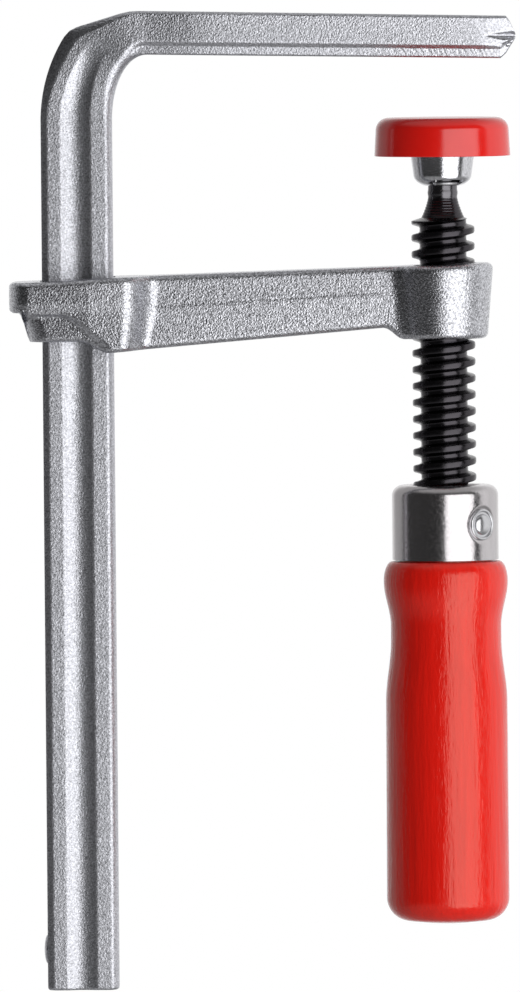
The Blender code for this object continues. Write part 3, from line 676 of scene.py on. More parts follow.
def arm_bottom(x):
    """The arm's lower outline: collar, slanted lug, beam and boss, from left to right."""
    if x > BOSS_DROP_START:
        return blend(beam_bottom(x), BOSS_BOTTOM_Z, ease((x - BOSS_DROP_START) / BOSS_DROP_RUN))
    if x > RAIL_MIDDLE_X:
        return blend(LUG_BOTTOM_Z, beam_bottom(x), ease((x - RAIL_MIDDLE_X) / (0.5 * RAIL_WIDTH)))
    slant = clamp((x - EYE_X - LUG_STEP) / LUG_SLANT)
    return blend(COLLAR_BOTTOM_Z, LUG_BOTTOM_Z, 0.5 * (slant + ease(slant))) + eye_corner(x)


def arm_left(z):
    """Left end of the arm at a height: upright beside the collar, slanted beside the lug."""
    lug = clamp((COLLAR_BOTTOM_Z - z) / (COLLAR_BOTTOM_Z - LUG_BOTTOM_Z))
    return EYE_X + LUG_STEP * ease((COLLAR_BOTTOM_Z - z) / FORGING_ROUND) + LUG_SLANT * lug


def recess_curve():
    """(x, z) points along the upper edge of the hollow that steps the lug back."""
    start = Vector((EYE_X + RECESS_CURVE_START, COLLAR_BOTTOM_Z))
    end = Vector((RAIL_INNER_X, LUG_BOTTOM_Z - FORGING_ROUND))
    ahead = start + Vector((RECESS_CURVE_EASE, 0.0))
    behind = end + Vector((-RECESS_FOOT_RUN, RECESS_FOOT_RISE))
    points = [Vector((2.0 * EYE_X, start.y))]
    for share in shares(CURVE_STEPS):
        near = start.lerp(ahead, share).lerp(ahead.lerp(behind, share), share)
        far = ahead.lerp(behind, share).lerp(behind.lerp(end, share), share)
        points.append(near.lerp(far, share))
    points.append(end + 4.0 * (end - behind))
    return points


RECESS_CURVE = recess_curve()


def inside_recess(place):
    """Distance from the recess's upper edge, positive below and left of it."""
    best = None
    for start, end in zip(RECESS_CURVE, RECESS_CURVE[1:]):
        along = end - start
        share = clamp((place - start).dot(along) / along.length_squared)
        offset = place - start.lerp(end, share)
        if best is None or offset.length < abs(best):
            side = along.x * offset.y - along.y * offset.x
            best = -offset.length if side > 0.0 else offset.length
    return best


def arm_half_depth(x, z, top, bottom):
    """Half the arm's depth: rounded end, eye, chamfer, stepped lug, shoulder, beam and seam."""
    run = clamp((x - arm_left(z)) / EYE_END_ROUND)
    end_cut = EYE_END_DEPTH * (1.0 - sqrt(1.0 - (1.0 - run) ** 2))
    end_cut += EYE_RIDGE_SLOPE * max(EYE_RIDGE_X - x, 0.0)
    crease = COLLAR_BOTTOM_Z + COLLAR_CHAMFER_HEIGHT
    across = clamp((x - EYE_X) / (SHOULDER_X - EYE_X))
    chamfer = COLLAR_CHAMFER_DEPTH * blend(1.0, COLLAR_CHAMFER_KEPT, across)
    end_cut += chamfer * clamp((crease - z) / COLLAR_CHAMFER_HEIGHT)
    parting = 0.5 * (top + bottom)
    under = arm_top(SHOULDER_X) - SHOULDER_PARTING - z
    below = clamp(under / (BEAM_ROOT_HEIGHT - SHOULDER_PARTING))
    start = SHOULDER_X - SHOULDER_SHIFT * below
    shoulder = ease((x - start) / (SHOULDER_RUN * (1.0 - SHOULDER_DRAW * below)))
    ridge = PARTING_BULGE * shoulder * (1.0 - abs(z - parting) / (top - parting))
    depth = blend(EYE_HALF_DEPTH - end_cut, 0.5 * BEAM_DEPTH, shoulder) + ridge
    if z < blend(top - FORGING_ROUND, bottom + FORGING_ROUND, SEAM_ROW / ARM_FACE_STEPS):
        depth += SEAM_STEP * shoulder
    if x < RAIL_INNER_X:
        wall = RECESS_WALL * (1.0 + clamp((x - EYE_X - RECESS_CURVE_START) / RECESS_CURVE_EASE))
        depth -= RECESS_DEPTH * ease(inside_recess(Vector((x, z))) / wall)
    return boss_depth(x, boss_radius(z), depth) if x > -2.0 * BOSS_RADIUS else depth


def forging_rows(top, bottom, depth_at):
    """(depth, height) points down a forged flank with rounded edges, from its depth by height."""
    high = top - FORGING_ROUND
    low = bottom + FORGING_ROUND
    rows = upper_round(depth_at(high), top, FORGING_ROUND)
    for share in shares(ARM_FACE_STEPS)[1:-1]:
        z = blend(high, low, share)
        rows.append((depth_at(z), z))
    return rows + lower_round(depth_at(low), bottom, FORGING_ROUND)


def straight_flank(x):
    top = arm_top(x)
    bottom = arm_bottom(x)
    rows = forging_rows(top, bottom, lambda z: arm_half_depth(x, z, top, bottom))
    return [(x, depth, z) for depth, z in rows]


def boss_radius(z):
    """The boss tapers downwards a little."""
    return blend(BOSS_FOOT_RADIUS, BOSS_RADIUS, (z - BOSS_BOTTOM_Z) / BOSS_HEIGHT)


def boss_depth(x, radius, beam):
    """Half depth along the beam, the hollow beside the boss and the boss itself."""
    centre = -sqrt((radius + BOSS_FILLET) ** 2 - (beam + BOSS_FILLET) ** 2)
    if x <= centre:
        return beam
    if x >= centre * radius / (radius + BOSS_FILLET):
        return sqrt(radius**2 - x**2)
    return beam + BOSS_FILLET - sqrt(BOSS_FILLET**2 - (x - centre) ** 2)


def boss_flank(turn):
    x = BOSS_RADIUS * sin(turn)
    rows = forging_rows(arm_top(x), arm_bottom(x), boss_radius)
    return [(radius * sin(turn), radius * cos(turn), z) for radius, z in rows]


def arm_stations():
    """X of the straight sections, close together where the outline bends."""
    shoulder_end = SHOULDER_X + SHOULDER_RUN
    stations = [EYE_X + EYE_END_ROUND * (1.0 - cos(turn)) for turn in quarter(3 * ROUND_STEPS)]
    stations += spaced(stations[-1], RAIL_INNER_X, 2 * CURVE_STEPS)
    stations += spaced(RAIL_INNER_X, shoulder_end, CURVE_STEPS)
    stations += spaced(shoulder_end, BOSS_DROP_START, ROUND_STEPS)
    return stations + spaced(BOSS_DROP_START, BOSS_RADIUS * sin(BOSS_TURN), CURVE_STEPS)


def make_sliding_arm():
    flanks = [straight_flank(x) for x in arm_stations()]
    flanks += [boss_flank(turn) for turn in spaced(BOSS_TURN, BOSS_END_TURN, CURVE_STEPS)]
    arm = loft("sliding_arm_fine", flanks)
    half = 0.5 * RAIL_THICKNESS + EYE_SLOT_CLEARANCE
    left = RAIL_OUTER_X - EYE_SLOT_CLEARANCE
    right = RAIL_INNER_X + EYE_SLOT_CLEARANCE
    corners = ((left, -half), (right, -half), (right, half), (left, half))
    ends = [[(x, y, z) for x, y in corners] for z in (2.0 * LUG_BOTTOM_Z, 0.0)]
    combine(arm, sweep("rail_slot", ends))
    low = BOSS_BOTTOM_Z - 2.0 * PITCH
    return combine(arm, thread_rod("arm_thread", THREAD_CLEARANCE, low, 2.0 * PITCH - ARM_DROP))


# Spindle


def thread_profile(clearance):
    """(radius, height) points down one pitch, with rounded crest and root corners."""
    minor = 0.5 * THREAD_MINOR + clearance
    major = 0.5 * THREAD_MAJOR + clearance
    widen = clearance * (1.0 / cos(THREAD_FLANK) - tan(THREAD_FLANK))
    crest = 0.5 * THREAD_CREST + widen
    root = crest + (major - minor) * tan(THREAD_FLANK)
    soft = THREAD_ROUND
    half = [
        (minor, 0.5 * PITCH),
        (minor, root + soft),
        (minor + 0.3 * soft, root + 0.3 * soft),
        (minor + soft, root - soft * tan(THREAD_FLANK)),
        (major - soft, crest + soft * tan(THREAD_FLANK)),
        (major - 0.3 * soft, crest - 0.1 * soft),
        (major, crest - soft),
    ]
    return half + [(radius, -height) for radius, height in reversed(half)]


def thread_rod(name, clearance, low, high):
    """A right-hand threaded rod about the Z axis that reaches past both heights."""
    first = int(low // PITCH) - 2
    turns = int(high // PITCH) + 2 - first
    profile = thread_profile(clearance)
    start = first * PITCH + THREAD_PHASE
    skin = bmesh.new()
    helix = []
    for step in range(turns * THREAD_STEPS + 1):
        turn = 2.0 * pi * step / THREAD_STEPS
        rise = start + PITCH * step / THREAD_STEPS
        helix.append([skin.verts.new((r * cos(turn), r * sin(turn), rise + h)) for r, h in profile])
    for row, following in zip(helix, helix[1:]):
        bridge(skin, row, following, closed=False)
    bmesh.ops.remove_doubles(skin, verts=skin.verts, dist=WELD)
    for z in (start, start + turns * PITCH):
        middle = skin.verts.new((0.0, 0.0, z))
        rim = [edge.verts[:] for edge in skin.edges if edge.is_boundary]
        for start_vert, end_vert in rim:
            if abs(start_vert.co.z - z) < PITCH:
                skin.faces.new((start_vert, end_vert, middle))
    return from_skin(name, skin)


def spindle_outline():
    """(radius, height) points down the turned blank: ball, neck, flare, screw and plain shank."""
    neck = 0.5 * NECK_DIAMETER
    flare = 0.5 * FLARE_DIAMETER
    shank = 0.5 * SHANK_DIAMETER
    ball_end = pi - atan2(neck, sqrt(BALL_RADIUS**2 - neck**2))
    points = []
    for share in shares(CURVE_STEPS // 2):
        turn = ball_end * share
        points.append((BALL_RADIUS * sin(turn), BALL_Z + BALL_RADIUS * cos(turn)))
    for share in shares(ROUND_STEPS):
        z = blend(PLATE_LOW.z, FLARE_Z, blend(NECK_SHOULDER_SHARE, 1.0, share))
        points.append((neck + NECK_BULGE * sin(pi * share) ** 2, z))
    for share in shares(CURVE_STEPS)[1:]:
        drop = FLARE_LENGTH * share
        mark = FLARE_MARK_DEPTH * cos(2.0 * pi * drop / FLARE_MARK_PITCH) * sin(pi * share)
        points.append((blend(neck, flare, share**FLARE_HOLLOW) + mark, FLARE_Z - drop))
    outside = 0.5 * THREAD_MAJOR + PITCH
    slope = (outside - flare) / (0.5 * THREAD_MAJOR - flare)
    thread_end = FERRULE_HIGH.z - FERRULE_WALL
    points += [(outside, RUNOUT_Z - RUNOUT_LENGTH * slope), (outside, thread_end)]
    points += [(shank, thread_end), (shank, SPINDLE_LOW.z), (0.0, SPINDLE_LOW.z)]
    return points


def make_spindle():
    spindle = lathe("spindle_fine", spindle_outline())
    rod = thread_rod("spindle_thread", 0.0, SPINDLE_LOW.z, CAP_HIGH.z)
    return combine(spindle, rod, "INTERSECT")


# Swivel


def make_retaining_ring():
    """An open wire ring with one end bent up, swept as a tube."""
    wire = 0.5 * RING_WIRE
    radius = 0.5 * RING_DIAMETER
    z = 0.5 * (RING_LOW.z + RING_HIGH.z) - RING_DROP
    start = RING_TURN + 0.5 * RING_OPENING
    path = []
    for share in (0.0, 0.5):
        hook_z = z + RING_HOOK * (1.0 - share)
        path.append(Vector((radius * cos(start), radius * sin(start), hook_z)))
    for share in shares(2 * CURVE_STEPS):
        turn = start + (2.0 * pi - RING_OPENING) * share
        path.append(Vector((radius * cos(turn), radius * sin(turn), z)))
    turns = [2.0 * pi * share for share in shares(2 * ROUND_STEPS)[:-1]]
    sections = []
    for index, place in enumerate(path):
        ahead = path[min(index + 1, len(path) - 1)] - path[max(index - 1, 0)]
        out = Vector((place.x, place.y, 0.0)).normalized()
        up = out.cross(ahead).normalized()
        sections.append([place + wire * (cos(turn) * out + sin(turn) * up) for turn in turns])
    return sweep("retaining_ring_fine", sections)


def plate_profile():
    """(radius, height) points: disc, cup, mouth, ring channel and ball seat."""
    disc = PLATE_HIGH.x
    top = PLATE_HIGH.z
    under = top - PLATE_THICKNESS
    bottom = PLATE_LOW.z
    points = [(0.0, top)] + upper_round(disc, top, PLATE_EDGE_ROUND)
    points += [(disc, under), (0.5 * CUP_DIAMETER, under)]
    corner_end = acos((MOUTH_RADIUS - CUP_CORNER_X) / CUP_CORNER_RUN)
    corner_z = bottom + CUP_CORNER_RISE * sin(corner_end)
    for share in shares(3 * ROUND_STEPS):
        turn = corner_end * share
        radius = CUP_CORNER_X + CUP_CORNER_RUN * cos(turn)
        points.append((radius, corner_z - CUP_CORNER_RISE * sin(turn)))
    lip = acos(MOUTH_RADIUS / CHANNEL_RADIUS)
    for share in shares(2 * ROUND_STEPS):
        turn = lip * (1.0 - share)
        points.append((CHANNEL_RADIUS * cos(turn), BALL_Z - CHANNEL_RADIUS * sin(turn)))
    for turn in quarter(2 * ROUND_STEPS):
        points.append((SEAT_RADIUS * cos(turn), BALL_Z + SEAT_RADIUS * sin(turn)))
    return points


def notch_cutter():
    """A ring sector that opens the cup's lower rim on the front, where the wire ring goes in."""
    inner = NOTCH_REACH * MOUTH_RADIUS
    low = PLATE_LOW.z - NOTCH_HEIGHT
    high = PLATE_LOW.z + NOTCH_HEIGHT
    outline = ((inner, high), (CUP_DIAMETER, high), (CUP_DIAMETER, low), (inner, low))
    sections = []
    for share in shares(CURVE_STEPS):
        turn = blend(NOTCH_START, NOTCH_END, share) - 0.5 * pi
        sections.append([(radius * cos(turn), radius * sin(turn), z) for radius, z in outline])
    return sweep("plate_notch", sections)


def make_pad_cap():
    """A soft cap that slips over the pressure plate and grips under its rim."""
    mouth = CAP_HIGH.x
    shoulder = 0.5 * CAP_TOP_DIAMETER
    pocket = PLATE_HIGH.x + SEAT_CLEARANCE
    top = CAP_HIGH.z
    bottom = CAP_LOW.z
    ceiling = top - CAP_TOP_WALL
    lip_top = PLATE_HIGH.z - PLATE_THICKNESS - SEAT_CLEARANCE
    soft = 0.25 * CAP_LIP
    profile = [(0.0, top)] + upper_round(shoulder, top, CAP_EDGE_ROUND, 2 * ROUND_STEPS)
    profile += lower_round(mouth, bottom, soft)
    profile += [(pocket - CAP_LIP, bottom), (pocket - CAP_LIP, min(lip_top, bottom + CAP_LIP_HEIGHT))]
    profile += [(pocket, lip_top), (pocket, ceiling), (0.0, ceiling)]
    return lathe("pad_cap_fine", profile)


# Ferrule, rivet and handle


def make_ferrule():
    """A drawn cap over the handle's tenon, with a dent round each of the rivet's heads."""
    outer = FERRULE_HIGH.x
    inner = outer - FERRULE_WALL
    top = FERRULE_HIGH.z
    bottom = FERRULE_LOW.z
    side_top = top - FERRULE_EDGE_ROUND
    profile = [
        (FERRULE_HOLE_RADIUS, top - 0.5 * FERRULE_WALL),
        (FERRULE_HOLE_RADIUS + FERRULE_HOLE_ROUND, top - 0.25 * FERRULE_HOLE_ROUND),
    ]
    profile += upper_round(outer, top, FERRULE_EDGE_ROUND, 2 * ROUND_STEPS)
    profile += [(outer, z) for z in spaced(side_top, bottom, CURVE_STEPS)]
    ceiling = top - FERRULE_WALL
    profile += [(inner, bottom), (inner, ceiling), (FERRULE_HOLE_RADIUS, ceiling)]
    ferrule = lathe("ferrule_fine", profile, 2 * TURN_STEPS, closed=True)
    axis = Vector((sin(RIVET_TURN), -cos(RIVET_TURN), 0.0))
    for point in ferrule.data.vertices:
        place = point.co - Vector((0.0, 0.0, RIVET_Z))
        flat = Vector((place.x, place.y, 0.0))
        if flat.length < outer - 0.1 * FERRULE_WALL:
            continue
        away = (place - axis * place.dot(axis)).length
        dent = DIMPLE_DEPTH * (1.0 - ease((away - DIMPLE_FLAT) / (DIMPLE_RADIUS - DIMPLE_FLAT)))
        point.co -= flat.normalized() * dent
    return ferrule


def make_handle_rivet():
    """A rivet with a domed head inside a raised rim at each end."""
    seat = FERRULE_HIGH.x - DIMPLE_DEPTH
    half = []
    for turn in quarter(2 * ROUND_STEPS):
        half.append((RIVET_DOME_RADIUS * sin(turn), seat + RIVET_DOME_HEIGHT * cos(turn)))
    for share in shares(2 * ROUND_STEPS):
        radius = RIVET_RIM_RADIUS - 0.5 * RIVET_RIM_WIDTH * (1.0 + cos(pi * share))
        half.append((radius, seat + RIVET_RIM_HEIGHT * sin(pi * share)))
    half.append((RIVET_RIM_RADIUS, seat - RIVET_RIM_WIDTH))
    half.append((RIVET_SHANK_SHARE * RIVET_DOME_RADIUS, seat - RIVET_RIM_WIDTH))
    other_half = [(radius, -z) for radius, z in reversed(half)]
    rivet = lathe("handle_rivet_fine", half + other_half, TURN_STEPS // 2)
    across = Matrix.Rotation(RIVET_TURN, 4, "Z") @ Matrix.Rotation(0.5 * pi, 4, "X")
    rivet.data.transform(Matrix.Translation((0.0, 0.0, RIVET_Z)) @ across)
    return rivet


def handle_profile():
    """(radius, height) points: bore, tenon, rounded shoulder, waist, belly and domed end."""
    bore = 0.5 * SHANK_DIAMETER + SEAT_CLEARANCE
    tenon = FERRULE_HIGH.x - FERRULE_WALL - SEAT_CLEARANCE
    bore_end = SPINDLE_LOW.z - SEAT_CLEARANCE
    top = FERRULE_LOW.z - SEAT_CLEARANCE
    neck = FERRULE_HIGH.x
    shoulder = 0.5 * HANDLE_SHOULDER_DIAMETER
    waist = 0.5 * HANDLE_WAIST_DIAMETER
    belly = 0.5 * HANDLE_BELLY_DIAMETER
    tail = 0.5 * HANDLE_TAIL_DIAMETER
    bottom = HANDLE_LOW.z
    points = [(0.0, bore_end), (bore, bore_end), (bore, HANDLE_HIGH.z)]
    points += [(tenon, HANDLE_HIGH.z), (tenon, top)]
    for turn in quarter(2 * ROUND_STEPS):
        z = top - HANDLE_SHOULDER_DROP * (1.0 - cos(turn))
        points.append((blend(neck, shoulder, sin(turn)), z))
    waves = (
        (shoulder, waist, HANDLE_SHOULDER_DROP, HANDLE_WAIST_DROP),
        (waist, belly, HANDLE_WAIST_DROP + HANDLE_WAIST_LENGTH, HANDLE_BELLY_DROP),
    )
    for start, end, start_drop, end_drop in waves:
        for share in shares(CURVE_STEPS // 2):
            radius = blend(start, end, 0.5 - 0.5 * cos(pi * share))
            points.append((radius, top - blend(start_drop, end_drop, share)))
    points += lower_round(tail, bottom + HANDLE_END_DOME, HANDLE_END_ROUND, 2 * ROUND_STEPS)
    face = tail - HANDLE_END_ROUND
    for share in shares(ROUND_STEPS)[1:]:
        points.append((face * (1.0 - share), bottom + HANDLE_END_DOME * (1.0 - share) ** 2))
    return points


# Finishes


def new_material(name, colour, metallic, roughness):
    material = bpy.data.materials.new(name)
    material.use_nodes = True
    shader = material.node_tree.nodes["Principled BSDF"]
    shader.inputs["Base Color"].default_value = (*colour, 1.0)
    shader.inputs["Metallic"].default_value = metallic
    shader.inputs["Roughness"].default_value = roughness
    return material, shader


def noise(material, scale, detail, stretch=(1.0, 1.0, 1.0)):
    """A noise over the piece's own place, with scale in waves per metre."""
    tree = material.node_tree
    place = tree.nodes.new("ShaderNodeTexCoord")
    mapping = tree.nodes.new("ShaderNodeMapping")
    mapping.inputs["Scale"].default_value = stretch
    texture = tree.nodes.new("ShaderNodeTexNoise")
    texture.inputs["Scale"].default_value = scale
    texture.inputs["Detail"].default_value = detail
    tree.links.new(place.outputs["Object"], mapping.inputs["Vector"])
    tree.links.new(mapping.outputs["Vector"], texture.inputs["Vector"])
    return texture.outputs["Fac"]


def rescale(tree, value, low, high, start=0.0, end=1.0, curve="LINEAR"):
    """A number taken from one range to another, and held at the ends."""
    span = tree.nodes.new("ShaderNodeMapRange")
    span.interpolation_type = curve
    span.inputs["From Min"].default_value = low
    span.inputs["From Max"].default_value = high
    span.inputs["To Min"].default_value = start
    span.inputs["To Max"].default_value = end
    tree.links.new(value, span.inputs["Value"])
    return span.outputs["Result"]


def vary(material, source, socket, low, high):
    """Drives a number on the shader between two values by a noise."""
    tree = material.node_tree
    tree.links.new(rescale(tree, source, *NOISE_SPAN, low, high), socket)


def tint(material, source, shader, low, high):
    """Drives the shader's colour between two tones."""
    tree = material.node_tree
    ramp = tree.nodes.new("ShaderNodeValToRGB")
    for element, position, tone in zip(ramp.color_ramp.elements, NOISE_SPAN, (low, high)):
        element.position = position
        element.color = (*tone, 1.0)
    tree.links.new(source, ramp.inputs["Fac"])
    tree.links.new(ramp.outputs["Color"], shader.inputs["Base Color"])


def emboss(material, shader, layers):
    """Bumps from (height, depth in metres) layers, one over another."""
    tree = material.node_tree
    normal = None
    for height, depth in layers:
        bump = tree.nodes.new("ShaderNodeBump")
        bump.inputs["Distance"].default_value = depth
        tree.links.new(height, bump.inputs["Height"])
        if normal:
            tree.links.new(normal, bump.inputs["Normal"])
        normal = bump.outputs["Normal"]
    tree.links.new(normal, shader.inputs["Normal"])


def part_way(material, axis, low, high, start=0.0, end=1.0, ragged=0.0):
    """Goes from one number to another between two places on an axis, with a ragged edge if wanted."""
    tree = material.node_tree
    place = tree.nodes.new("ShaderNodeTexCoord")
    parts = tree.nodes.new("ShaderNodeSeparateXYZ")
    uneven = tree.nodes.new("ShaderNodeMath")
    uneven.operation = "MULTIPLY_ADD"
    uneven.inputs[1].default_value = ragged
    tree.links.new(place.outputs["Object"], parts.inputs["Vector"])
    tree.links.new(noise(material, 700.0, 3.0), uneven.inputs[0])
    tree.links.new(parts.outputs[axis], uneven.inputs[2])
    return rescale(tree, uneven.outputs["Value"], low, high, start, end)


def zinc_plated(name, colour, roughness, depth, contrast):
    """Zinc-plated steel with a sparkling grain of a given depth and contrast."""
    material, shader = new_material(name, colour, 1.0, roughness)
    dark = [(1.0 - contrast) * tone for tone in colour]
    light = [min((1.0 + contrast) * tone, 1.0) for tone in colour]
    tint(material, noise(material, 2900.0, 2.0), shader, dark, light)
    emboss(material, shader, [(noise(material, 3200.0, 2.0), depth)])
    return material, shader.inputs["Roughness"]


def grained_steel(name, colour, roughness, depth, contrast):
    material, rough = zinc_plated(name, colour, roughness, depth, contrast)
    vary(material, noise(material, 300.0, 3.0), rough, 0.9 * roughness, 1.1 * roughness)
    return material


def rolled_steel(name, colour, contrast):
    """Matt below the bend, brighter on the forged jaw and smooth at the jaw's tip."""
    material, rough = zinc_plated(name, colour, BAR_ROUGHNESS, BAR_GRAIN, contrast)
    tree = material.node_tree
    bend_z = jaw_foot(RAIL_INNER_X) - BEND_INNER_RISE
    forged = part_way(material, "Z", bend_z, JAW_HEIGHT, BAR_ROUGHNESS, JAW_ROUGHNESS)
    tree.links.new(forged, rough)
    smoothed = part_way(material, "X", 0.0, JAW_VEIN_START, 1.0, TIP_GRAIN_SHARE)
    tree.links.new(smoothed, tree.nodes["Bump"].inputs["Strength"])
    return material


def black_steel():
    """Black oxide that is worn to grey round the neck."""
    black = (0.060, 0.056, 0.062)
    material, shader = new_material("black_oxide", black, 1.0, 0.2)
    fine = noise(material, 1800.0, 3.0)
    lines = noise(material, 900.0, 2.0, (0.15, 0.15, 4.0))
    neck_z = blend(FLARE_Z, PLATE_LOW.z, 0.5)
    worn = part_way(material, "Z", FLARE_Z, neck_z, ragged=WEAR_RAGGED)
    tint(material, worn, shader, black, (0.16, 0.155, 0.165))
    vary(material, fine, shader.inputs["Roughness"], 0.16, 0.30)
    emboss(material, shader, [(lines, 0.00001), (fine, 0.00001)])
    return material


def bright_nickel():
    material, shader = new_material("bright_nickel", (0.58, 0.555, 0.565), 1.0, 0.18)
    fine = noise(material, 2200.0, 2.0)
    streaks = noise(material, 700.0, 3.0, (1.0, 1.0, 0.12))
    tint(material, streaks, shader, (0.55, 0.525, 0.535), (0.61, 0.585, 0.595))
    vary(material, fine, shader.inputs["Roughness"], 0.15, 0.26)
    emboss(material, shader, [(streaks, 0.00001), (fine, 0.000014)])
    return material


def red_plastic():
    material, shader = new_material("red_plastic", (0.72, 0.009, 0.005), 0.0, 0.26)
    fine = noise(material, 1500.0, 3.0)
    tint(material, noise(material, 220.0, 3.0), shader, (0.70, 0.008, 0.0045), (0.74, 0.010, 0.0055))
    vary(material, fine, shader.inputs["Roughness"], 0.15, 0.21)
    shader.inputs["Specular IOR Level"].default_value = CAP_GLOSS
    emboss(material, shader, [(noise(material, 260.0, 2.0), 0.000008), (fine, 0.000001)])
    return material


def red_wood():
    material, shader = new_material("red_wood", (0.74, 0.010, 0.005), 0.0, 0.24)
    grain = noise(material, 1100.0, 4.0, (1.0, 1.0, 0.055))
    pores = noise(material, 2400.0, 2.0, (1.0, 1.0, 0.25))
    tint(material, grain, shader, (0.69, 0.009, 0.0045), (0.79, 0.011, 0.0055))
    vary(material, pores, shader.inputs["Roughness"], 0.14, 0.24)
    shader.inputs["Specular IOR Level"].default_value = HANDLE_GLOSS
    shader.inputs["Specular Tint"].default_value = (1.0, 0.92, 0.76, 1.0)
    emboss(material, shader, [(grain, 0.00010), (pores, 0.00006)])
    return material


def spring_wire():
    material, shader = new_material("spring_wire", (0.40, 0.40, 0.41), 1.0, 0.35)
    fine = noise(material, 2600.0, 3.0)
    tint(material, noise(material, 600.0, 2.0), shader, (0.34, 0.34, 0.35), (0.52, 0.52, 0.53))
    vary(material, fine, shader.inputs["Roughness"], 0.28, 0.45)
    emboss(material, shader, [(fine, 0.000004)])
    return material


# Studio


def make_floor():
    """A pale round floor that keeps the shadow near the clamp and fades out into the white studio."""
    skin = bmesh.new()
    bmesh.ops.create_circle(skin, cap_ends=True, segments=TURN_STEPS, radius=FLOOR_FAR)
    floor = from_skin("floor", skin)
    floor.location = (0.5 * (RAIL_LOW.x + RAIL_HIGH.x), 0.0, RAIL_LOW.z - FLOOR_DROP)
    material, shader = new_material("floor", (0.85, 0.85, 0.85), 0.0, 0.9)
    tree = material.node_tree
    clear = tree.nodes.new("ShaderNodeBsdfTransparent")
    mix = tree.nodes.new("ShaderNodeMixShader")
    place = tree.nodes.new("ShaderNodeTexCoord")
    reach = tree.nodes.new("ShaderNodeVectorMath")
    reach.operation = "LENGTH"
    tree.links.new(place.outputs["Object"], reach.inputs[0])
    distance = reach.outputs["Value"]
    far = rescale(tree, distance, FLOOR_NEAR, FLOOR_FAR, FLOOR_CLEAR, 1.0, "SMOOTHSTEP")
    tree.links.new(far, mix.inputs["Fac"])
    tree.links.new(shader.outputs["BSDF"], mix.inputs[1])
    tree.links.new(clear.outputs["BSDF"], mix.inputs[2])
    tree.links.new(mix.outputs["Shader"], tree.nodes["Material Output"].inputs["Surface"])
    floor.data.materials.append(material)
    floor.visible_glossy = False
    floor.visible_diffuse = False


def make_world():
    """A studio with a white backdrop, pale sides and ceiling, and darkness round the camera."""
    world = bpy.data.worlds.new("studio")
    bpy.context.scene.world = world
    world.use_nodes = True
    tree = world.node_tree

    def compute(operation, *values):
        node = tree.nodes.new("ShaderNodeMath")
        node.operation = operation
        for socket, value in zip(node.inputs, values):
            if isinstance(value, float):
                socket.default_value = value
            else:
                tree.links.new(value, socket)
        return node.outputs["Value"]

    def rise(part, low, high, start=0.0, end=1.0):
        return rescale(tree, parts.outputs[part], low, high, start, end, "SMOOTHSTEP")

    place = tree.nodes.new("ShaderNodeTexCoord")
    parts = tree.nodes.new("ShaderNodeSeparateXYZ")
    tree.links.new(place.outputs["Generated"], parts.inputs["Vector"])
    turn = compute("ARCTAN2", parts.outputs["X"], compute("MULTIPLY", parts.outputs["Y"], -1.0))
    ramp = tree.nodes.new("ShaderNodeValToRGB")
    elements = ramp.color_ramp.elements
    while len(elements) < len(STUDIO_TONES):
        elements.new(0.5)
    for element, (position, tone) in zip(elements, STUDIO_TONES):
        element.position = position
        element.color = (tone, tone, tone, 1.0)
    tree.links.new(compute("MULTIPLY_ADD", turn, 0.5 / pi, 0.5), ramp.inputs["Fac"])
    above = tree.nodes.new("ShaderNodeMix")
    above.data_type = "FLOAT"
    upward = rise("Z", 0.5, 0.9)
    downward = rise("Z", -0.6, -0.15, 1.0, 0.0)
    tree.links.new(compute("ADD", upward, downward), above.inputs["Factor"])
    tree.links.new(ramp.outputs["Color"], above.inputs["A"])
    tree.links.new(rise("Z", -0.3, 0.3, GROUND_TONE, CEILING_TONE), above.inputs["B"])
    path = tree.nodes.new("ShaderNodeLightPath")
    mirrored = compute("MAXIMUM", path.outputs["Is Glossy Ray"], path.outputs["Is Transmission Ray"])
    behind = rise("Y", BACKDROP_EDGE, 1.0)
    shown = compute("MAXIMUM", path.outputs["Is Camera Ray"], compute("MULTIPLY", mirrored, behind))
    white = tree.nodes.new("ShaderNodeMix")
    white.data_type = "FLOAT"
    white.inputs["B"].default_value = 1.0
    tree.links.new(shown, white.inputs["Factor"])
    tree.links.new(above.outputs["Result"], white.inputs["A"])
    tree.links.new(white.outputs["Result"], tree.nodes["Background"].inputs["Color"])


def stand(name, data, place, right, up, back):
    """Puts a lamp or camera at a place, looking away from its back."""
    item = add_object(name, data)
    item.matrix_world = Matrix.Translation(place) @ Matrix((right, up, back)).transposed().to_4x4()
    return item


def make_softbox(name, left, right, height, power):
    """A tall softbox that spans two places and faces the clamp."""
    lamp = bpy.data.lights.new(name, "AREA")
    lamp.shape = "RECTANGLE"
    span = right - left
    lamp.size = span.length
    lamp.size_y = height
    lamp.energy = power
    across = span.normalized()
    up = Vector((0.0, 0.0, 1.0))
    place = 0.5 * (left + right) + LAMP_RISE * up
    softbox = stand(name, lamp, place, across, up, across.cross(up))
    softbox.visible_camera = False
    return softbox


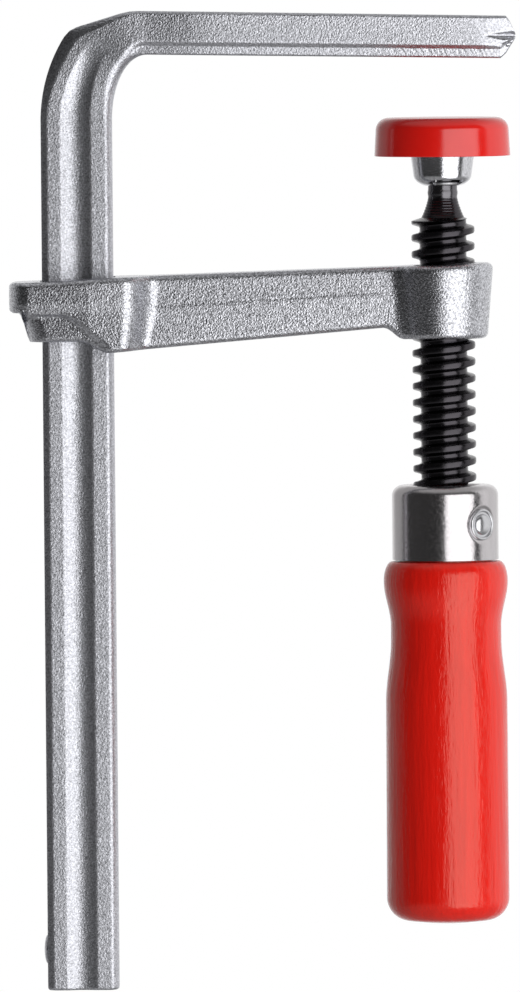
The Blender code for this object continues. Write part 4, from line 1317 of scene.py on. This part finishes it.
def make_camera():
    data = bpy.data.cameras.new("camera")
    data.sensor_width = SENSOR
    data.lens = SENSOR * CAMERA_DISTANCE * PIXELS_PER_METRE / PHOTO_HEIGHT
    data.clip_end = 10.0 * CAMERA_DISTANCE
    back = Vector((0.0, -cos(CAMERA_RISE), sin(CAMERA_RISE)))
    level = Vector((1.0, 0.0, 0.0))
    upright = back.cross(level)
    right = level * cos(CAMERA_ROLL) - upright * sin(CAMERA_ROLL)
    up = upright * cos(CAMERA_ROLL) + level * sin(CAMERA_ROLL)
    across = (0.5 * PHOTO_WIDTH - ORIGIN_PIXEL_X) / PIXELS_PER_METRE
    down = (0.5 * PHOTO_HEIGHT - ORIGIN_PIXEL_Y) / PIXELS_PER_METRE
    target = across * right - down * up
    place = target + CAMERA_DISTANCE * back
    bpy.context.scene.camera = stand("camera", data, place, right, up, back)


# Assembly

make_camera()
make_softbox("key", KEY_LEFT, KEY_RIGHT, KEY_HEIGHT, KEY_POWER)
fill = make_softbox("fill", FILL_LEFT, FILL_RIGHT, FILL_HEIGHT, FILL_POWER)
fill.visible_glossy = False
make_world()
make_floor()

bar_steel = rolled_steel("bar_steel", (0.60, 0.605, 0.645), 0.35)
forged_steel = grained_steel("forged_steel", (0.57, 0.575, 0.61), 0.25, 0.00010, 0.55)
plate_steel = grained_steel("plate_steel", (0.64, 0.64, 0.67), 0.17, 0.00002, 0.20)
rivet_steel = grained_steel("rivet_steel", (0.62, 0.62, 0.64), 0.22, 0.00001, 0.05)

dress(make_rail(), "rail", bar_steel)
dress(make_stop_stud(), "stop_stud", bar_steel)
dress(make_sliding_arm(), "sliding_arm", forged_steel)
dress(make_spindle(), "spindle", black_steel())
dress(make_retaining_ring(), "retaining_ring", spring_wire())
plate = lathe("pressure_plate_fine", plate_profile())
dress(combine(plate, notch_cutter()), "pressure_plate", plate_steel)
dress(make_pad_cap(), "pad_cap", red_plastic())
dress(make_ferrule(), "ferrule", bright_nickel())
dress(lathe("handle_fine", handle_profile()), "handle", red_wood())
dress(make_handle_rivet(), "handle_rivet", rivet_steel)

bpy.context.scene.view_settings.view_transform = "Standard"
